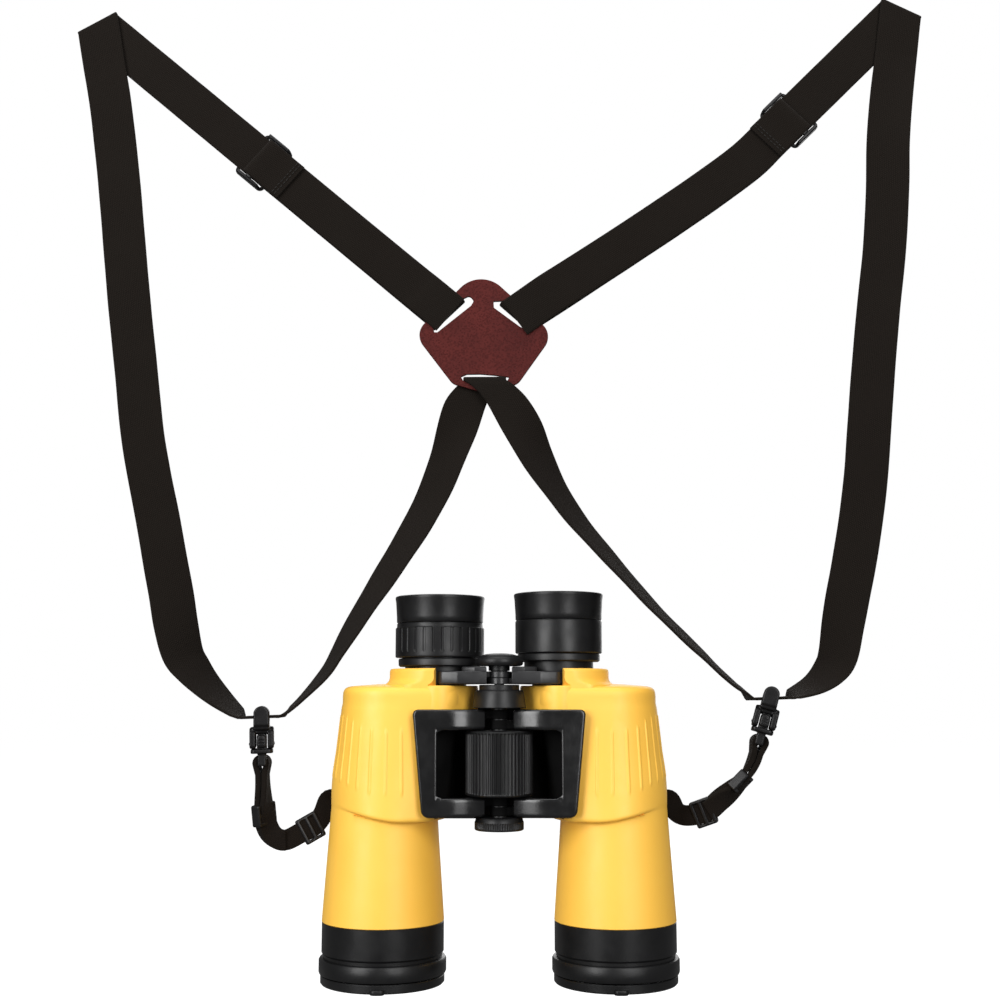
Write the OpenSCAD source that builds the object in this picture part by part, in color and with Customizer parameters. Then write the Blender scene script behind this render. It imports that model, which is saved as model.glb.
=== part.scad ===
// Binocular harness: crossed elastic webbing with a leather back patch, two
// tri-glide sliders and two quick-release buckles, carrying a porro-prism
// binocular on two short connector webbings.
//
// +Z is up, +X is to the right seen from the front, and -Y is the front.
// The origin is midway between the two shoulder folds, where the harness hangs.

/* [Webbing] */
// Width of the elastic webbing
strap_w = 23; // [21:0.5:23.5]
// Thickness of the elastic webbing
strap_t = 1.4; // [1:0.1:1.4]
// Width of the short connector webbing
connector_w = 10.5; // [9:0.5:11]
// Thickness of the doubled connector webbing
connector_t = 3; // [2:0.2:3]

/* [Back patch] */
// Thickness of the leather patch
patch_t = 2.4; // [1.8:0.2:2.4]
// Width of each slot in the patch
patch_slot_w = 4.4; // [4.2:0.1:4.8]

/* [Sliders] */
// Length of a tri-glide slider along the strap
slider_len = 18; // [16:0.5:20]
// Width of a tri-glide slider across the strap
slider_w = 28.2; // [28:0.1:29]

/* [Buckles] */
// Thickness of the buckle block
block_t = 12.4; // [11:0.2:12.6]
// Height of the buckle block
block_h = 10.7; // [10:0.1:10.8]
// Lean of the left buckle from the vertical
lean_left = -2; // [-4:1:4]
// Lean of the right buckle from the vertical
lean_right = 16; // [12:1:17]

/* [Binocular] */
// Distance from the centre plane to each objective axis
objective_x = 59; // [58:0.5:60]
// Distance from the centre plane to each eyepiece axis
eyepiece_x = 31; // [30:0.5:31.5]
// Distance of the centre hinge in front of the optical axes
hinge_y = -17.7; // [-18:0.1:-17]
// Radius of the barrel at the objective end
barrel_r = 31; // [30:0.25:31.5]
// Radius of the focus wheel
wheel_r = 17.1; // [16:0.1:17.4]
// Radius of the raised cover ring
cover_ring_r = 32.2; // [31.8:0.1:32.4]

/* [Hidden] */

$fn = 64;
left = -1;
right = 1;
// Facets of the discs that a hull() rounds
hull_fn = 32;
// Gap between pieces that move past each other
gap = 0.3;
// Radial clearance of a running fit
running = 0.05;
// Overhang that makes a cut run past a face
past = 1;

// Half the distance between the two layers of webbing where they run together
layer_y = 0.9;
// Distance of the webbing from the middle of the patch where they lie on it
patch_layer_y = 2.1;
// Half the distance between the layers of a shoulder fold
fold_y = 1.1;

// Middle of each shoulder fold, the direction of the fold line, and the
// direction of the webbing that leaves it towards the patch, in degrees
fold_left = [-223.5, 0, -9.6];
fold_right = [224, 0, -1];
fold_line_left = 30;
fold_line_right = -26.5;
back_dir_left = -40.3;
back_dir_right = -135;
// Distance along the webbing from each fold to its slider
slider_at_left = 123;
slider_at_right = 90;

// Middle of the turn round the edge of each upper patch slot, and the
// direction that crosses the slot there
turn_left = [-28.5, 0, -174.8];
turn_right = [10.3, 0, -176.3];
turn_dir_left = -46;
turn_dir_right = -132;
// Middle of the lower patch slot
lower_slot = [-7.8, 0, -210.4];

// Where the webbing passes through each buckle, on the axis that the
// binocular swings about
bight_left = [-123.2, 0, -390.7];
bight_right = [140.9, 0, -381.2];
swing_dir = unit(bight_right - bight_left);
// Half the length of webbing that turns with each buckle
bight_half = 9;

// Routes of the webbing: x, y, z and the roll about its own length, where
// 0 is face on and 90 is edge on
shoulder_route_left = [
    [-136, 0, -388.5, -80], [-144, 0, -382, -70], [-152.5, -0.5, -374, -58],
    [-159.5, -1, -366, -46], [-165, -1, -358, -36], [-169, -1.1, -343, -22],
    [-172, -1.1, -327, -12], [-175.5, -1.1, -311, -6], [-180.5, -1.1, -287, -3],
    [-186, -1.1, -263, 0], [-190.5, -1.1, -240, 0], [-195, -1.1, -206, 0],
    [-199.5, -1.1, -173, 0], [-203.5, -1.1, -140, 0], [-207.5, -1.1, -106, 0],
    [-211, -1.1, -80, 0], [-215, -1.1, -54, 0], [-219, -1.1, -34, 0]];
shoulder_route_right = [
    [153, 0, -379, 80], [164, 0, -374, 66], [172, -0.5, -367, 52],
    [176.5, -1, -359, 42], [179.5, -1.5, -343, 32], [182.5, -2, -328, 26],
    [186, -2.5, -312, 24], [190.5, -3, -288, 24], [194, -3.5, -264, 24],
    [196.5, -4, -239, 24], [200, -4, -206, 24], [204, -4, -173, 24],
    [208.5, -4, -140, 24], [211.5, -4, -106, 22], [213, -3.5, -80, 18],
    [216, -2.5, -54, 10], [220.3, -1.1, -27, 0]];
chest_route_left = [
    [-109, 0, -387, 82], [-103.5, 0, -382, 79], [-96, 1, -374, 75],
    [-89.5, 1.5, -366, 71], [-85, 2, -358, 67], [-80.5, 2, -350, 63],
    [-71.5, 2, -335, 58], [-62, 2, -320, 53], [-52, 2, -304, 48],
    [-42.5, 2, -288, 43], [-34.5, 2, -272, 38], [-28.3, 2, -256, 33],
    [-23, 2.1, -240, 22], [-17.5, 2.1, -223, 8], [-10, 2.1, -213.5, 0]];
chest_route_right = [
    [127, 0, -377, -82], [122.5, -0.5, -374, -80], [114.5, -1, -367, -78],
    [106.5, -1.5, -359, -76], [98, -2, -351, -75], [82, -2, -335, -73],
    [68.5, -2, -320, -69], [54.5, -2, -304, -65], [41, -2, -288, -60],
    [30, -2, -272, -52], [20.5, -2.6, -256, -38], [12.5, -3.4, -239, -20],
    [3, -2.7, -223, -3], [-5.5, -2.2, -213.5, 0]];
// The back of the right strap bends below its slider
back_route_right = [
    [136, 0.9, -89, 180], [113, 0.9, -106.5, 180], [89.5, 0.9, -123, 180],
    [64.5, 0.9, -140, 180], [39, 1.6, -157, 180], [26.5, 2.1, -165.3, 180]];
// The short webbings from the buckles to the lugs
connector_route_left = [
    [-122.3, 0, -416, 90], [-121.8, 0, -425, 88], [-121.3, 0.5, -434, 75],
    [-120.5, 1.5, -443, 50], [-117, 2.5, -450.5, 20], [-110.5, 4, -453.5, 0],
    [-102.5, 6.5, -450, 0], [-96, 9, -446.5, 0], [-92, 11.3, -441, 0],
    [-89.5, 13.8, -434.2, 0], [-86.4, 17.2, -434.2, 0], [-81.8, 22.3, -434.2, 0]];
connector_route_right = [
    [133.9, 0, -405.5, 90], [131, 0, -414, 88], [126.5, 0.5, -421.5, 75],
    [120, 1.5, -428, 45], [113.5, 2.5, -433.5, 15], [108, 4, -438.5, 0],
    [101, 6.8, -441, 0], [95.5, 9.3, -441.3, 0], [91.8, 11.5, -439, 0],
    [89.5, 13.8, -434.2, 0], [86.4, 17.2, -434.2, 0], [81.8, 22.3, -434.2, 0]];
// Points drawn between two points of a route
route_steps = 3;
// Number of the route point where the two halves of a connector meet
connector_split = 5;

// Heights of the binocular's parts
housing_top_z = -376.5;
housing_shoulder_z = -381;
skirt_z = -441;
armour_z = -492.6;
collar_z = -510;
cover_ring_z = -518;
bottom_z = -523;
turret_z = -366;
frame_z = [-439.5, -386.5];
window_z = [-429.8, -396.8];
arm_z = [-374, -367.5];
cone_z = [-386, -377];
// Height of each half's own knuckle
knuckle_h = 4.8;
hinge = [0, hinge_y, 0];
shaft_r = 4;
knuckle_r = 6.7;
journal_r = 6;
tube_r = 14;
core_r = 19.3;
barrel_bore = 24.7;
// Heights of each eyepiece: flange bottom, ring bottom, cup bottom, cup top
eyepiece_z_left = [-365, -360.3, -342.3, -328.5];
eyepiece_z_right = [-362.4, -357.8, -340.8, -326.9];

webbing = "#211c18";
plastic = "#1c1c1e";
rubber = "#2a2a2c";
armour = "#fccf52";
leather = "#5f2a28";
glass = "#8fa8b8";
metal = "#3c3d40";

// ---- Swept webbing ----

function unit(v) = v / norm(v);
function place(p) = [p.x, p.y, p.z];
function heading(angle) = [cos(angle), 0, sin(angle)];

// A curve through four points, between the second and the third
function curve(a, b, c, d, u) =
    0.5 * (2 * b + (c - a) * u + (2 * a - 5 * b + 4 * c - d) * u * u
        + (3 * b - a - 3 * c + d) * u * u * u);

// A route with more points drawn between its own
function smooth(route) = let (last = len(route) - 1) [
    for (i = [0:last - 1], k = [0:route_steps - 1])
        curve(route[max(i - 1, 0)], route[i], route[i + 1], route[min(i + 2, last)],
            k / route_steps),
    route[last]];

// A station is a point of the webbing's middle line and half of the line
// that crosses the webbing there
function station(p, dir, roll, w) =
    let (side = unit(cross(dir, [0, 1, 0])), back = cross(side, dir))
    [p, w / 2 * (cos(roll) * side + sin(roll) * back)];

function stations(route, w) = let (path = smooth(route), last = len(path) - 1) [
    for (i = [0:last])
        let (ahead = place(path[min(i + 1, last)]), behind = place(path[max(i - 1, 0)]))
        station(place(path[i]), unit(ahead - behind), path[i][3], w)];

// Half a turn of the webbing about a line in the XZ plane, from y to -y
function half_turn(middle, out, line, y, half) = [
    for (turn = [0:30:180])
        [middle + abs(y) * sin(turn) * out + [0, y * cos(turn), 0], line * half]];

// One closed solid along a list of stations
module strip(stations, t) {
    last = len(stations) - 1;
    points = [for (i = [0:last])
        let (p = stations[i][0], w = stations[i][1],
            ahead = stations[min(i + 1, last)][0], behind = stations[max(i - 1, 0)][0],
            n = t / 2 * unit(cross(ahead - behind, w)))
        each [p - w - n, p + w - n, p + w + n, p - w + n]];
    sides = [for (i = [0:last - 1], k = [0:3])
        let (a = 4 * i + k, b = 4 * i + (k + 1) % 4)
        each [[a, a + 4, b + 4], [a, b + 4, b]]];
    end = 4 * last;
    caps = [[0, 1, 2], [0, 2, 3], [end + 2, end + 1, end], [end + 3, end + 2, end]];
    polyhedron(points, concat(sides, caps), convexity = 8);
}

// ---- Small shapes ----

module tube(r, bore, z0, z1) {
    translate([0, 0, z0]) difference() {
        cylinder(r = r, h = z1 - z0);
        translate([0, 0, -past]) cylinder(r = bore, h = z1 - z0 + 2 * past);
    }
}

module disc(r, z0, z1) {
    translate([0, 0, z0]) cylinder(r = r, h = z1 - z0);
}

module block(low, high) {
    translate(low) cube(high - low);
}

module rounded_rect(size, r) {
    square([size.x, size.y - 2 * r], center = true);
    square([size.x - 2 * r, size.y], center = true);
    for (x = [-1, 1], y = [-1, 1])
        translate([x * (size.x / 2 - r), y * (size.y / 2 - r)]) circle(r = r, $fn = 32);
}

// A plate that lies in the XZ plane, between two values of y
module upright(y0, y1) {
    translate([0, y1, 0]) rotate([90, 0, 0]) linear_extrude(y1 - y0) children();
}

// Puts a shape drawn along +X in the XZ plane at a point and an angle
module aim(p, angle) {
    translate(p) rotate([0, -angle, 0]) children();
}

// ---- Harness ----

module slot_cut(p, angle, length) {
    aim(p, angle) upright(-patch_t / 2 - past, patch_t / 2 + past)
        rounded_rect([length, patch_slot_w], patch_slot_w / 2 - 0.1);
}

function slot_middle(turn, dir) = turn + (patch_slot_w / 2) * heading(dir);

module back_patch() {
    slot_len = strap_w + 3.4;
    corners = [[-9.8, -172, 15.6], [-34, -187.4, 9], [17.3, -188.3, 9],
        [-21, -208.6, 6.6], [6, -208.6, 6.6], [-7.8, -209.8, 9.2]];
    color(leather) difference() {
        upright(-patch_t / 2, patch_t / 2) hull()
            for (c = corners) translate([c.x, c.y]) circle(r = c.z, $fn = hull_fn);
        slot_cut(slot_middle(turn_left, turn_dir_left), turn_dir_left + 90, slot_len);
        slot_cut(slot_middle(turn_right, turn_dir_right), turn_dir_right + 90, slot_len);
        slot_cut(lower_slot, 0, slot_len);
    }
}

// The webbing round a shoulder fold and down the back
function fold_stations(fold, line, dir) =
    let (along = -heading(line), out = heading(line + 90),
        half = strap_w / 2 / abs(sin(dir - line)))
    half_turn(fold, out, along, -fold_y, half);

// The turn through an upper patch slot, from the back of the patch to its front
function slot_stations(turn, dir) =
    half_turn(turn, heading(dir), -heading(dir + 90), patch_layer_y, strap_w / 2);

function bight_end(bight, side) = bight + side * bight_half * swing_dir;

// Two stations that make a piece of webbing start square to the swing axis
function square_start(bight, side, roll) = [
    for (k = [0, 1.5])
        [bight_end(bight, side) + side * (gap + k) * swing_dir,
            strap_w / 2 * [0, sign(roll), 0]]];

module shoulder_strap(side, bight, front_route, fold, line, dir, back_route, turn, turn_dir) {
    color(webbing) strip(concat(
        square_start(bight, side, front_route[0][3]),
        stations(front_route, strap_w),
        fold_stations(fold, line, dir),
        stations(back_route, strap_w),
        slot_stations(turn, turn_dir)), strap_t);
}

// Straight webbing from a fold, past the slider, to a distance along it
function straight_back(fold, dir, from, to) = [
    for (d = [from, (from + to) / 2, to])
        let (p = fold + d * heading(dir)) [p.x, layer_y, p.z, 180]];

module shoulder_strap_left() {
    reach = norm(turn_left - fold_left);
    near = turn_left - 14 * heading(back_dir_left);
    shoulder_strap(left, bight_left, shoulder_route_left, fold_left, fold_line_left,
        back_dir_left, concat(straight_back(fold_left, back_dir_left, 26, reach - 40),
            [[near.x, patch_layer_y, near.z, 180]]), turn_left, turn_dir_left);
}

module shoulder_strap_right() {
    shoulder_strap(right, bight_right, shoulder_route_right, fold_right, fold_line_right,
        back_dir_right, concat(straight_back(fold_right, back_dir_right, 26, 105),
            back_route_right), turn_right, turn_dir_right);
}

module chest_strap(side, bight, route, y) {
    tip = [lower_slot.x, 0, lower_slot.z];
    slot_turn = [for (turn = [30:30:90])
        [tip + [0, y * cos(turn), patch_layer_y * (sin(turn) - 1)],
            strap_w / 2 * [side, 0, 0]]];
    color(webbing) strip(concat(square_start(bight, side, route[0][3]),
        stations(route, strap_w), slot_turn), strap_t);
}

module chest_strap_left() {
    chest_strap(right, bight_left, chest_route_left, patch_layer_y);
}

module chest_strap_right() {
    chest_strap(left, bight_right, chest_route_right, -patch_layer_y);
}

// The sewn front layer: from the patch slot, up to and over the slider's bar
module stitched_loop_left() {
    up = -back_dir_left;
    slider = fold_left + slider_at_left * heading(back_dir_left);
    points = [for (d = [[-1.5, -patch_layer_y], [-14, -patch_layer_y], [-28, -layer_y]])
        let (p = turn_left + d.x * heading(back_dir_left)) [p.x, d.y, p.z, 0]];
    over = [for (d = [[30, -layer_y], [10, -layer_y], [4, -2.9], [-3, -2.9]])
        let (p = slider + d.x * heading(back_dir_left)) [p.x, d.y, p.z, 0]];
    color(webbing) strip(stations(concat(points, over), strap_w), strap_t);
}

module stitched_loop_right() {
    slider = fold_right + slider_at_right * heading(back_dir_right);
    start = turn_right + 1.5 * heading(turn_dir_right + 180);
    low = [for (i = [len(back_route_right) - 1:-1:0])
        let (p = back_route_right[i]) [p.x, -p.y, p.z, 0]];
    over = [for (d = [[10, -layer_y], [4, -2.9], [-3, -2.9]])
        let (p = slider + d.x * heading(back_dir_right)) [p.x, d.y, p.z, 0]];
    color(webbing) strip(stations(concat([[start.x, -patch_layer_y, start.z, 0]], low, over),
        strap_w), strap_t);
}

// A tri-glide: two side rails, two end bars behind the webbing and a middle
// bar in front of it
module slider(fold, dir, at) {
    inner_w = strap_w + 1.2;
    front = -1.9;
    bar_back = -0.1;
    end_front = 1.9;
    rear = 3.7;
    bar_len = 2;
    middle_bar_len = 4;
    color(plastic) aim(fold + at * heading(dir), dir) {
        difference() {
            upright(front, rear) rounded_rect([slider_len, slider_w], 3.6);
            upright(front - past, rear + past)
                square([slider_len - 2 * bar_len, inner_w], center = true);
            upright(front - past, end_front)
                square([slider_len + 2 * past, inner_w], center = true);
        }
        upright(front, bar_back) square([middle_bar_len, inner_w + 0.2], center = true);
    }
}

module slider_left() slider(fold_left, back_dir_left, slider_at_left);

module slider_right() slider(fold_right, back_dir_right, slider_at_right);

module strap_bight(bight) {
    color(webbing) strip([for (s = [-1, 0, 1])
        [bight + s * bight_half * swing_dir, strap_w / 2 * [0, 1, 0]]], strap_t);
}

module strap_bight_left() strap_bight(bight_left);

module strap_bight_right() strap_bight(bight_right);

// ---- Quick-release buckles, drawn about the webbing that passes through ----

loop_r = 4.1;
loop_y = 15.4;
window_y = 12.4;
window_half = 2.4;
loop_top = 5.6;
block_top = -5.2;
block_y = 11;
block_z = block_top - block_h;
flange_z = [block_z - 2.5, block_z - gap];
prong_y = [6.6, 9.2];
prong_t = 5;
stem_z = -23.4;

module on_buckle(bight, lean) {
    translate(bight) rotate([0, lean, 0]) children();
}

module buckle_socket(bight, lean) {
    color(plastic) on_buckle(bight, lean) difference() {
        union() {
            translate([0, 0, loop_top - loop_r]) rotate([90, 0, 0])
                cylinder(r = loop_r, h = 2 * loop_y, center = true);
            block([-loop_r, -loop_y, block_top], [loop_r, loop_y, loop_top - loop_r]);
            translate([0, 0, block_z]) linear_extrude(block_h)
                rounded_rect([block_t, 2 * block_y], 2.5);
        }
        // The way through for the webbing
        block([-loop_r - past, -window_y, -window_half], [loop_r + past, window_y, window_half]);
        // The socket for the plug, open below and at both ends for the prongs
        block([-prong_t / 2 - gap, -block_y - past, block_z - past],
            [prong_t / 2 + gap, block_y + past, block_top - 1.4]);
    }
}

module buckle_socket_left() buckle_socket(bight_left, lean_left);

module buckle_socket_right() buckle_socket(bight_right, lean_right);

// Flange, centre tongue and the bar that the connector webbing loops round
module buckle_plug(bight, lean) {
    bar_r = 1.5;
    color(plastic) on_buckle(bight, lean) {
        difference() {
            translate([0, 0, flange_z[0]]) linear_extrude(flange_z[1] - flange_z[0])
                rounded_rect([11.4, 2 * block_y - 1], 2);
            for (s = [-1, 1]) block(
                [-prong_t / 2 - gap, s > 0 ? prong_y[0] - gap : -prong_y[1] - gap, flange_z[0] - past],
                [prong_t / 2 + gap, s > 0 ? prong_y[1] + gap : -prong_y[0] + gap, flange_z[1] + past]);
        }
        block([-2, -2, flange_z[1] - 0.2], [2, 2, block_top - 3]);
        for (s = [-1, 1]) block([-2.2, s > 0 ? 6 : -8, stem_z - 1.5],
            [2.2, s > 0 ? 8 : -6, flange_z[0] + 0.1]);
        translate([0, 0, stem_z]) rotate([90, 0, 0]) cylinder(r = bar_r, h = 13, center = true);
    }
}

module buckle_plug_left() buckle_plug(bight_left, lean_left);

module buckle_plug_right() buckle_plug(bight_right, lean_right);

// A release prong, with a rounded press pad at its tip
module prong(bight, lean, end) {
    color(plastic) on_buckle(bight, lean) {
        block([-prong_t / 2, end > 0 ? prong_y[0] : -prong_y[1], flange_z[0] + 0.2],
            [prong_t / 2, end > 0 ? prong_y[1] : -prong_y[0], block_top - 2.4]);
        translate([0, end * (prong_y[1] - 0.4), -12]) rotate([0, 90, 0])
            cylinder(r = 2.6, h = prong_t, center = true);
    }
}

module prong_front_left() prong(bight_left, lean_left, -1);

module prong_back_left() prong(bight_left, lean_left, 1);

module prong_front_right() prong(bight_right, lean_right, -1);

module prong_back_right() prong(bight_right, lean_right, 1);

// ---- Connector webbings ----

function part_of(list, from, to) = [for (i = [from:to]) list[i]];

module connector_upper(route) {
    all = stations(route, connector_w);
    color(webbing) strip(part_of(all, 0, connector_split * route_steps), connector_t);
}

module connector_lower(route) {
    all = stations(route, connector_w);
    color(webbing) strip(part_of(all, connector_split * route_steps, len(all) - 1), connector_t);
}

module connector_upper_left() connector_upper(connector_route_left);

module connector_upper_right() connector_upper(connector_route_right);

module connector_lower_left() connector_lower(connector_route_left);

module connector_lower_right() connector_lower(connector_route_right);

// A small tri-glide threaded on the connector at one of its stations
module adjuster(route, at) {
    all = stations(route, connector_w);
    p = all[at][0];
    across = unit(all[at][1]);
    ahead = unit(all[at + 1][0] - all[at - 1][0]);
    along = unit(ahead - (ahead * across) * across);
    out = cross(along, across);
    turned = [[along.x, across.x, out.x, p.x], [along.y, across.y, out.y, p.y],
        [along.z, across.z, out.z, p.z], [0, 0, 0, 1]];
    size = [11, connector_w + 3.4, connector_t + 2.2];
    color(plastic) multmatrix(turned) difference() {
        translate([0, 0, -size.z / 2]) linear_extrude(size.z) rounded_rect([size.x, size.y], 2);
        cube([size.x + 2 * past, connector_w + 0.4, connector_t + 0.4], center = true);
    }
}

module upper_adjuster_left() adjuster(connector_route_left, 8);

module upper_adjuster_right() adjuster(connector_route_right, 7);

module lower_adjuster_left() adjuster(connector_route_left, 20);

module lower_adjuster_right() adjuster(connector_route_right, 16);

// ---- Binocular ----

module on_axis(side, x) {
    translate([side * x, 0, 0]) children();
}

// Discs whose hull is one layer of a prism housing, given as x, y and radius
module layer(side, discs, z, h) {
    for (d = discs) translate([side * d.x, d.y, z]) cylinder(r = d.z, h = h, $fn = hull_fn);
}

// Plan of the housing at its top, its shoulder and its skirt, with its wall
// taken off for the hollow inside
function housing_plan(x, r, inner_x, wall) = [
    [x, 0, r - wall], [inner_x, -16, 10 - wall], [inner_x, 16, 10 - wall]];

module housing_body(side, wall) {
    hull() {
        layer(side, housing_plan(53.5, 22.5, 29.5, wall), housing_top_z - wall - 0.5, 0.5);
        layer(side, housing_plan(55, 25.8, 29, wall), housing_shoulder_z, 0.5);
        layer(side, housing_plan(57, 30.5, 41, wall), skirt_z + wall, 0.5);
    }
}

// The wall round the eyepiece, open on the inner side for the bridge arm
module turret(side) {
    foot_z = housing_top_z - 1;
    difference() {
        on_axis(side, eyepiece_x) tube(27, 19.4, foot_z, turret_z);
        block([-eyepiece_x - 1, -30, foot_z - past], [eyepiece_x + 1, 30, turret_z + past]);
    }
}

module prism_housing(side) {
    color(armour) difference() {
        union() {
            housing_body(side, 0);
            turret(side);
        }
        housing_body(side, 3);
        on_axis(side, eyepiece_x) disc(tube_r + gap, housing_top_z - 6, turret_z);
        on_axis(side, objective_x) disc(barrel_bore, skirt_z - past, skirt_z + 5);
    }
}

module prism_housing_left() prism_housing(left);

module prism_housing_right() prism_housing(right);

// Two right-angle prisms, one turned a quarter turn from the other
module prisms(side) {
    leg = 24;
    color(glass) {
        translate([side * 57, 0, -402]) rotate([90, 0, 0]) linear_extrude(20, center = true)
            polygon([[-leg / 1.5, -8], [leg / 1.5, -8], [0, 8]]);
        translate([side * 52, 0, -424]) rotate([90, 0, 90]) linear_extrude(20, center = true)
            polygon([[-leg / 1.5, 8], [leg / 1.5, 8], [0, -8]]);
    }
}

module prisms_left() prisms(left);

module prisms_right() prisms(right);

// One half of the black hinge frame: a post on the front of the housing and two
// arms that reach the hinge shaft above and below the focus wheel
module hinge_frame(side) {
    front_y = -31.5;
    back_y = -26.2;
    post_x = [31.7, 43.2];
    foot_x = 39.6;
    arm_h = frame_z[1] - window_z[1];
    post = [[post_x[0], frame_z[0]], [foot_x - 2, frame_z[0]], [foot_x, frame_z[0] + 2],
        [post_x[1], frame_z[1] - 3], [post_x[1] - 3, frame_z[1]], [post_x[0], frame_z[1]]];
    arm = [[post_x[0] + 0.2, front_y], [18, front_y], [7, hinge_y - 7.4], [0, hinge_y - knuckle_r],
        [0, hinge_y + knuckle_r], [7, hinge_y + 6], [15, -24.5], [22, back_y],
        [post_x[0] + 0.2, back_y]];
    own = side < 0 ? 1 : 0;
    color(rubber) difference() {
        scale([side, 1, 1]) union() {
            upright(front_y, back_y) polygon(post);
            for (z = [frame_z[0], window_z[1]]) translate([0, 0, z]) {
                linear_extrude(z == frame_z[0] ? window_z[0] - frame_z[0] : arm_h) polygon(arm);
            }
            for (z = [frame_z[0], window_z[1]]) translate([0, hinge_y, z + own * (knuckle_h + gap)])
                cylinder(r = knuckle_r, h = knuckle_h);
        }
        // The other half's knuckles turn here
        for (z = [frame_z[0], window_z[1]]) translate([0, hinge_y, z + (1 - own) * knuckle_h - past * own])
            cylinder(r = knuckle_r + 0.7, h = knuckle_h + gap + past + 0.2 * (1 - own));
        translate([0, hinge_y, frame_z[0] - past])
            cylinder(r = shaft_r + running, h = frame_z[1] - frame_z[0] + 2 * past);
    }
}

module hinge_frame_left() hinge_frame(left);

module hinge_frame_right() hinge_frame(right);

module barrel(side) {
    top_r = 27.4;
    color(armour) on_axis(side, objective_x) translate([0, 0, armour_z]) difference() {
        cylinder(r1 = barrel_r, r2 = top_r, h = skirt_z - armour_z);
        translate([0, 0, -past]) cylinder(r = barrel_bore, h = skirt_z - armour_z + 2 * past);
    }
}

module barrel_left() barrel(left);

module barrel_right() barrel(right);

module objective_collar(side) {
    color(rubber) on_axis(side, objective_x) tube(barrel_r - 0.1, 26, collar_z, armour_z);
}

module objective_collar_left() objective_collar(left);

module objective_collar_right() objective_collar(right);

module objective_lens(side) {
    color(glass) on_axis(side, objective_x) disc(barrel_bore - 0.1, armour_z + 1, armour_z + 8);
}

module objective_lens_left() objective_lens(left);

module objective_lens_right() objective_lens(right);

pin_y = 35;
pin_z = -517.3;
pin_r = 1;
lug_r = 2.2;

// The raised ring of the flip-down cover, with the cover's hinge pin behind
module cover_ring(side) {
    color(rubber) on_axis(side, objective_x) difference() {
        union() {
            tube(cover_ring_r, 27.5, cover_ring_z, collar_z);
            for (s = [-1, 1]) translate([s * 5.7, pin_y, pin_z]) rotate([0, 90, 0])
                cylinder(r = lug_r, h = 2.6, center = true);
            for (s = [-1, 1]) block([s > 0 ? 4.4 : -7, 30.5, pin_z - 0.2],
                [s > 0 ? 7 : -4.4, pin_y, pin_z + lug_r]);
            translate([0, pin_y, pin_z]) rotate([0, 90, 0])
                cylinder(r = pin_r, h = 13, center = true);
        }
        disc(27.5, cover_ring_z - past, collar_z + past);
    }
}

module cover_ring_left() cover_ring(left);

module cover_ring_right() cover_ring(right);

// A shallow dish over the lens, with a pull tab in front and a knuckle behind
module lens_cover(side) {
    r = 31.3;
    rim_z = cover_ring_z - gap;
    color(rubber) on_axis(side, objective_x) difference() {
        union() {
            disc(r, bottom_z, rim_z);
            translate([0, -r + 1, bottom_z]) cylinder(r = 4, h = 3);
            block([-3.9, 28, bottom_z], [3.9, pin_y, -520.4]);
            block([-3.9, pin_y - lug_r, -521.5], [3.9, pin_y + lug_r, pin_z]);
            translate([0, pin_y, pin_z]) rotate([0, 90, 0])
                cylinder(r = lug_r, h = 7.8, center = true);
        }
        disc(r - 2, bottom_z + 2, rim_z + past);
        translate([0, pin_y, pin_z]) rotate([0, 90, 0])
            cylinder(r = pin_r + running, h = 12, center = true);
    }
}

module lens_cover_left() lens_cover(left);

module lens_cover_right() lens_cover(right);

// The lug on the outer back corner of the housing that holds the connector
module strap_lug(side) {
    lug_dir = 42;
    half_w = 5;
    color(plastic) translate([side * 57, 0, 0]) scale([side, 1, 1])
        rotate([0, 0, lug_dir - 90]) difference() {
            block([-half_w, 29.2, -442], [half_w, 37, -426]);
            block([-half_w - past, 31.6, -440], [half_w + past, 35.2, -428]);
        }
}

module strap_lug_left() strap_lug(left);

module strap_lug_right() strap_lug(right);

// ---- Centre hinge and focus ----

module hinge_shaft() {
    color(plastic) translate(hinge) difference() {
        union() {
            disc(shaft_r, frame_z[0] - 1.5, cone_z[0] + 1);
            translate([0, 0, cone_z[0]])
                cylinder(r1 = 13.7, r2 = 12.1, h = cone_z[1] - cone_z[0]);
            disc(10.2, cone_z[1], arm_z[0] - gap);
        }
        disc(2.6, -388, arm_z[0]);
    }
}

// The knurled bottom piece with the tripod thread, open below
module tripod_socket() {
    thread_r = 3.175;
    color(plastic) translate(hinge) difference() {
        disc(12.7, -448.5, frame_z[0] - gap);
        disc(shaft_r, frame_z[0] - 1.5, frame_z[0]);
        disc(thread_r, -448.5 - past, -441.5);
    }
}

module focus_wheel() {
    rib_count = 48;
    rib_r = 0.6;
    z0 = window_z[0] + gap;
    z1 = window_z[1] - gap;
    color(rubber) translate(hinge) difference() {
        disc(wheel_r, z0, z1);
        disc(shaft_r + running, z0 - past, z1 + past);
        for (i = [1:rib_count]) rotate([0, 0, i * 360 / rib_count])
            translate([wheel_r + 0.1, 0, z0 + 2]) cylinder(r = rib_r, h = z1 - z0 - 4, $fn = 6);
    }
}

// Focus rod, journal for the two arms, and the domed cap above them
module bridge_hub() {
    dome_r = 12.1;
    dome_z = -364.3;
    color(plastic) translate(hinge) {
        disc(2.5, -386, arm_z[0]);
        disc(journal_r, arm_z[0], arm_z[1] + gap);
        disc(5.4, arm_z[1] + gap, dome_z);
        disc(dome_r, dome_z, dome_z + 3.6);
        translate([0, 0, dome_z + 3.6]) cylinder(r1 = dome_r, r2 = 9, h = 2.4);
    }
}

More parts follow.
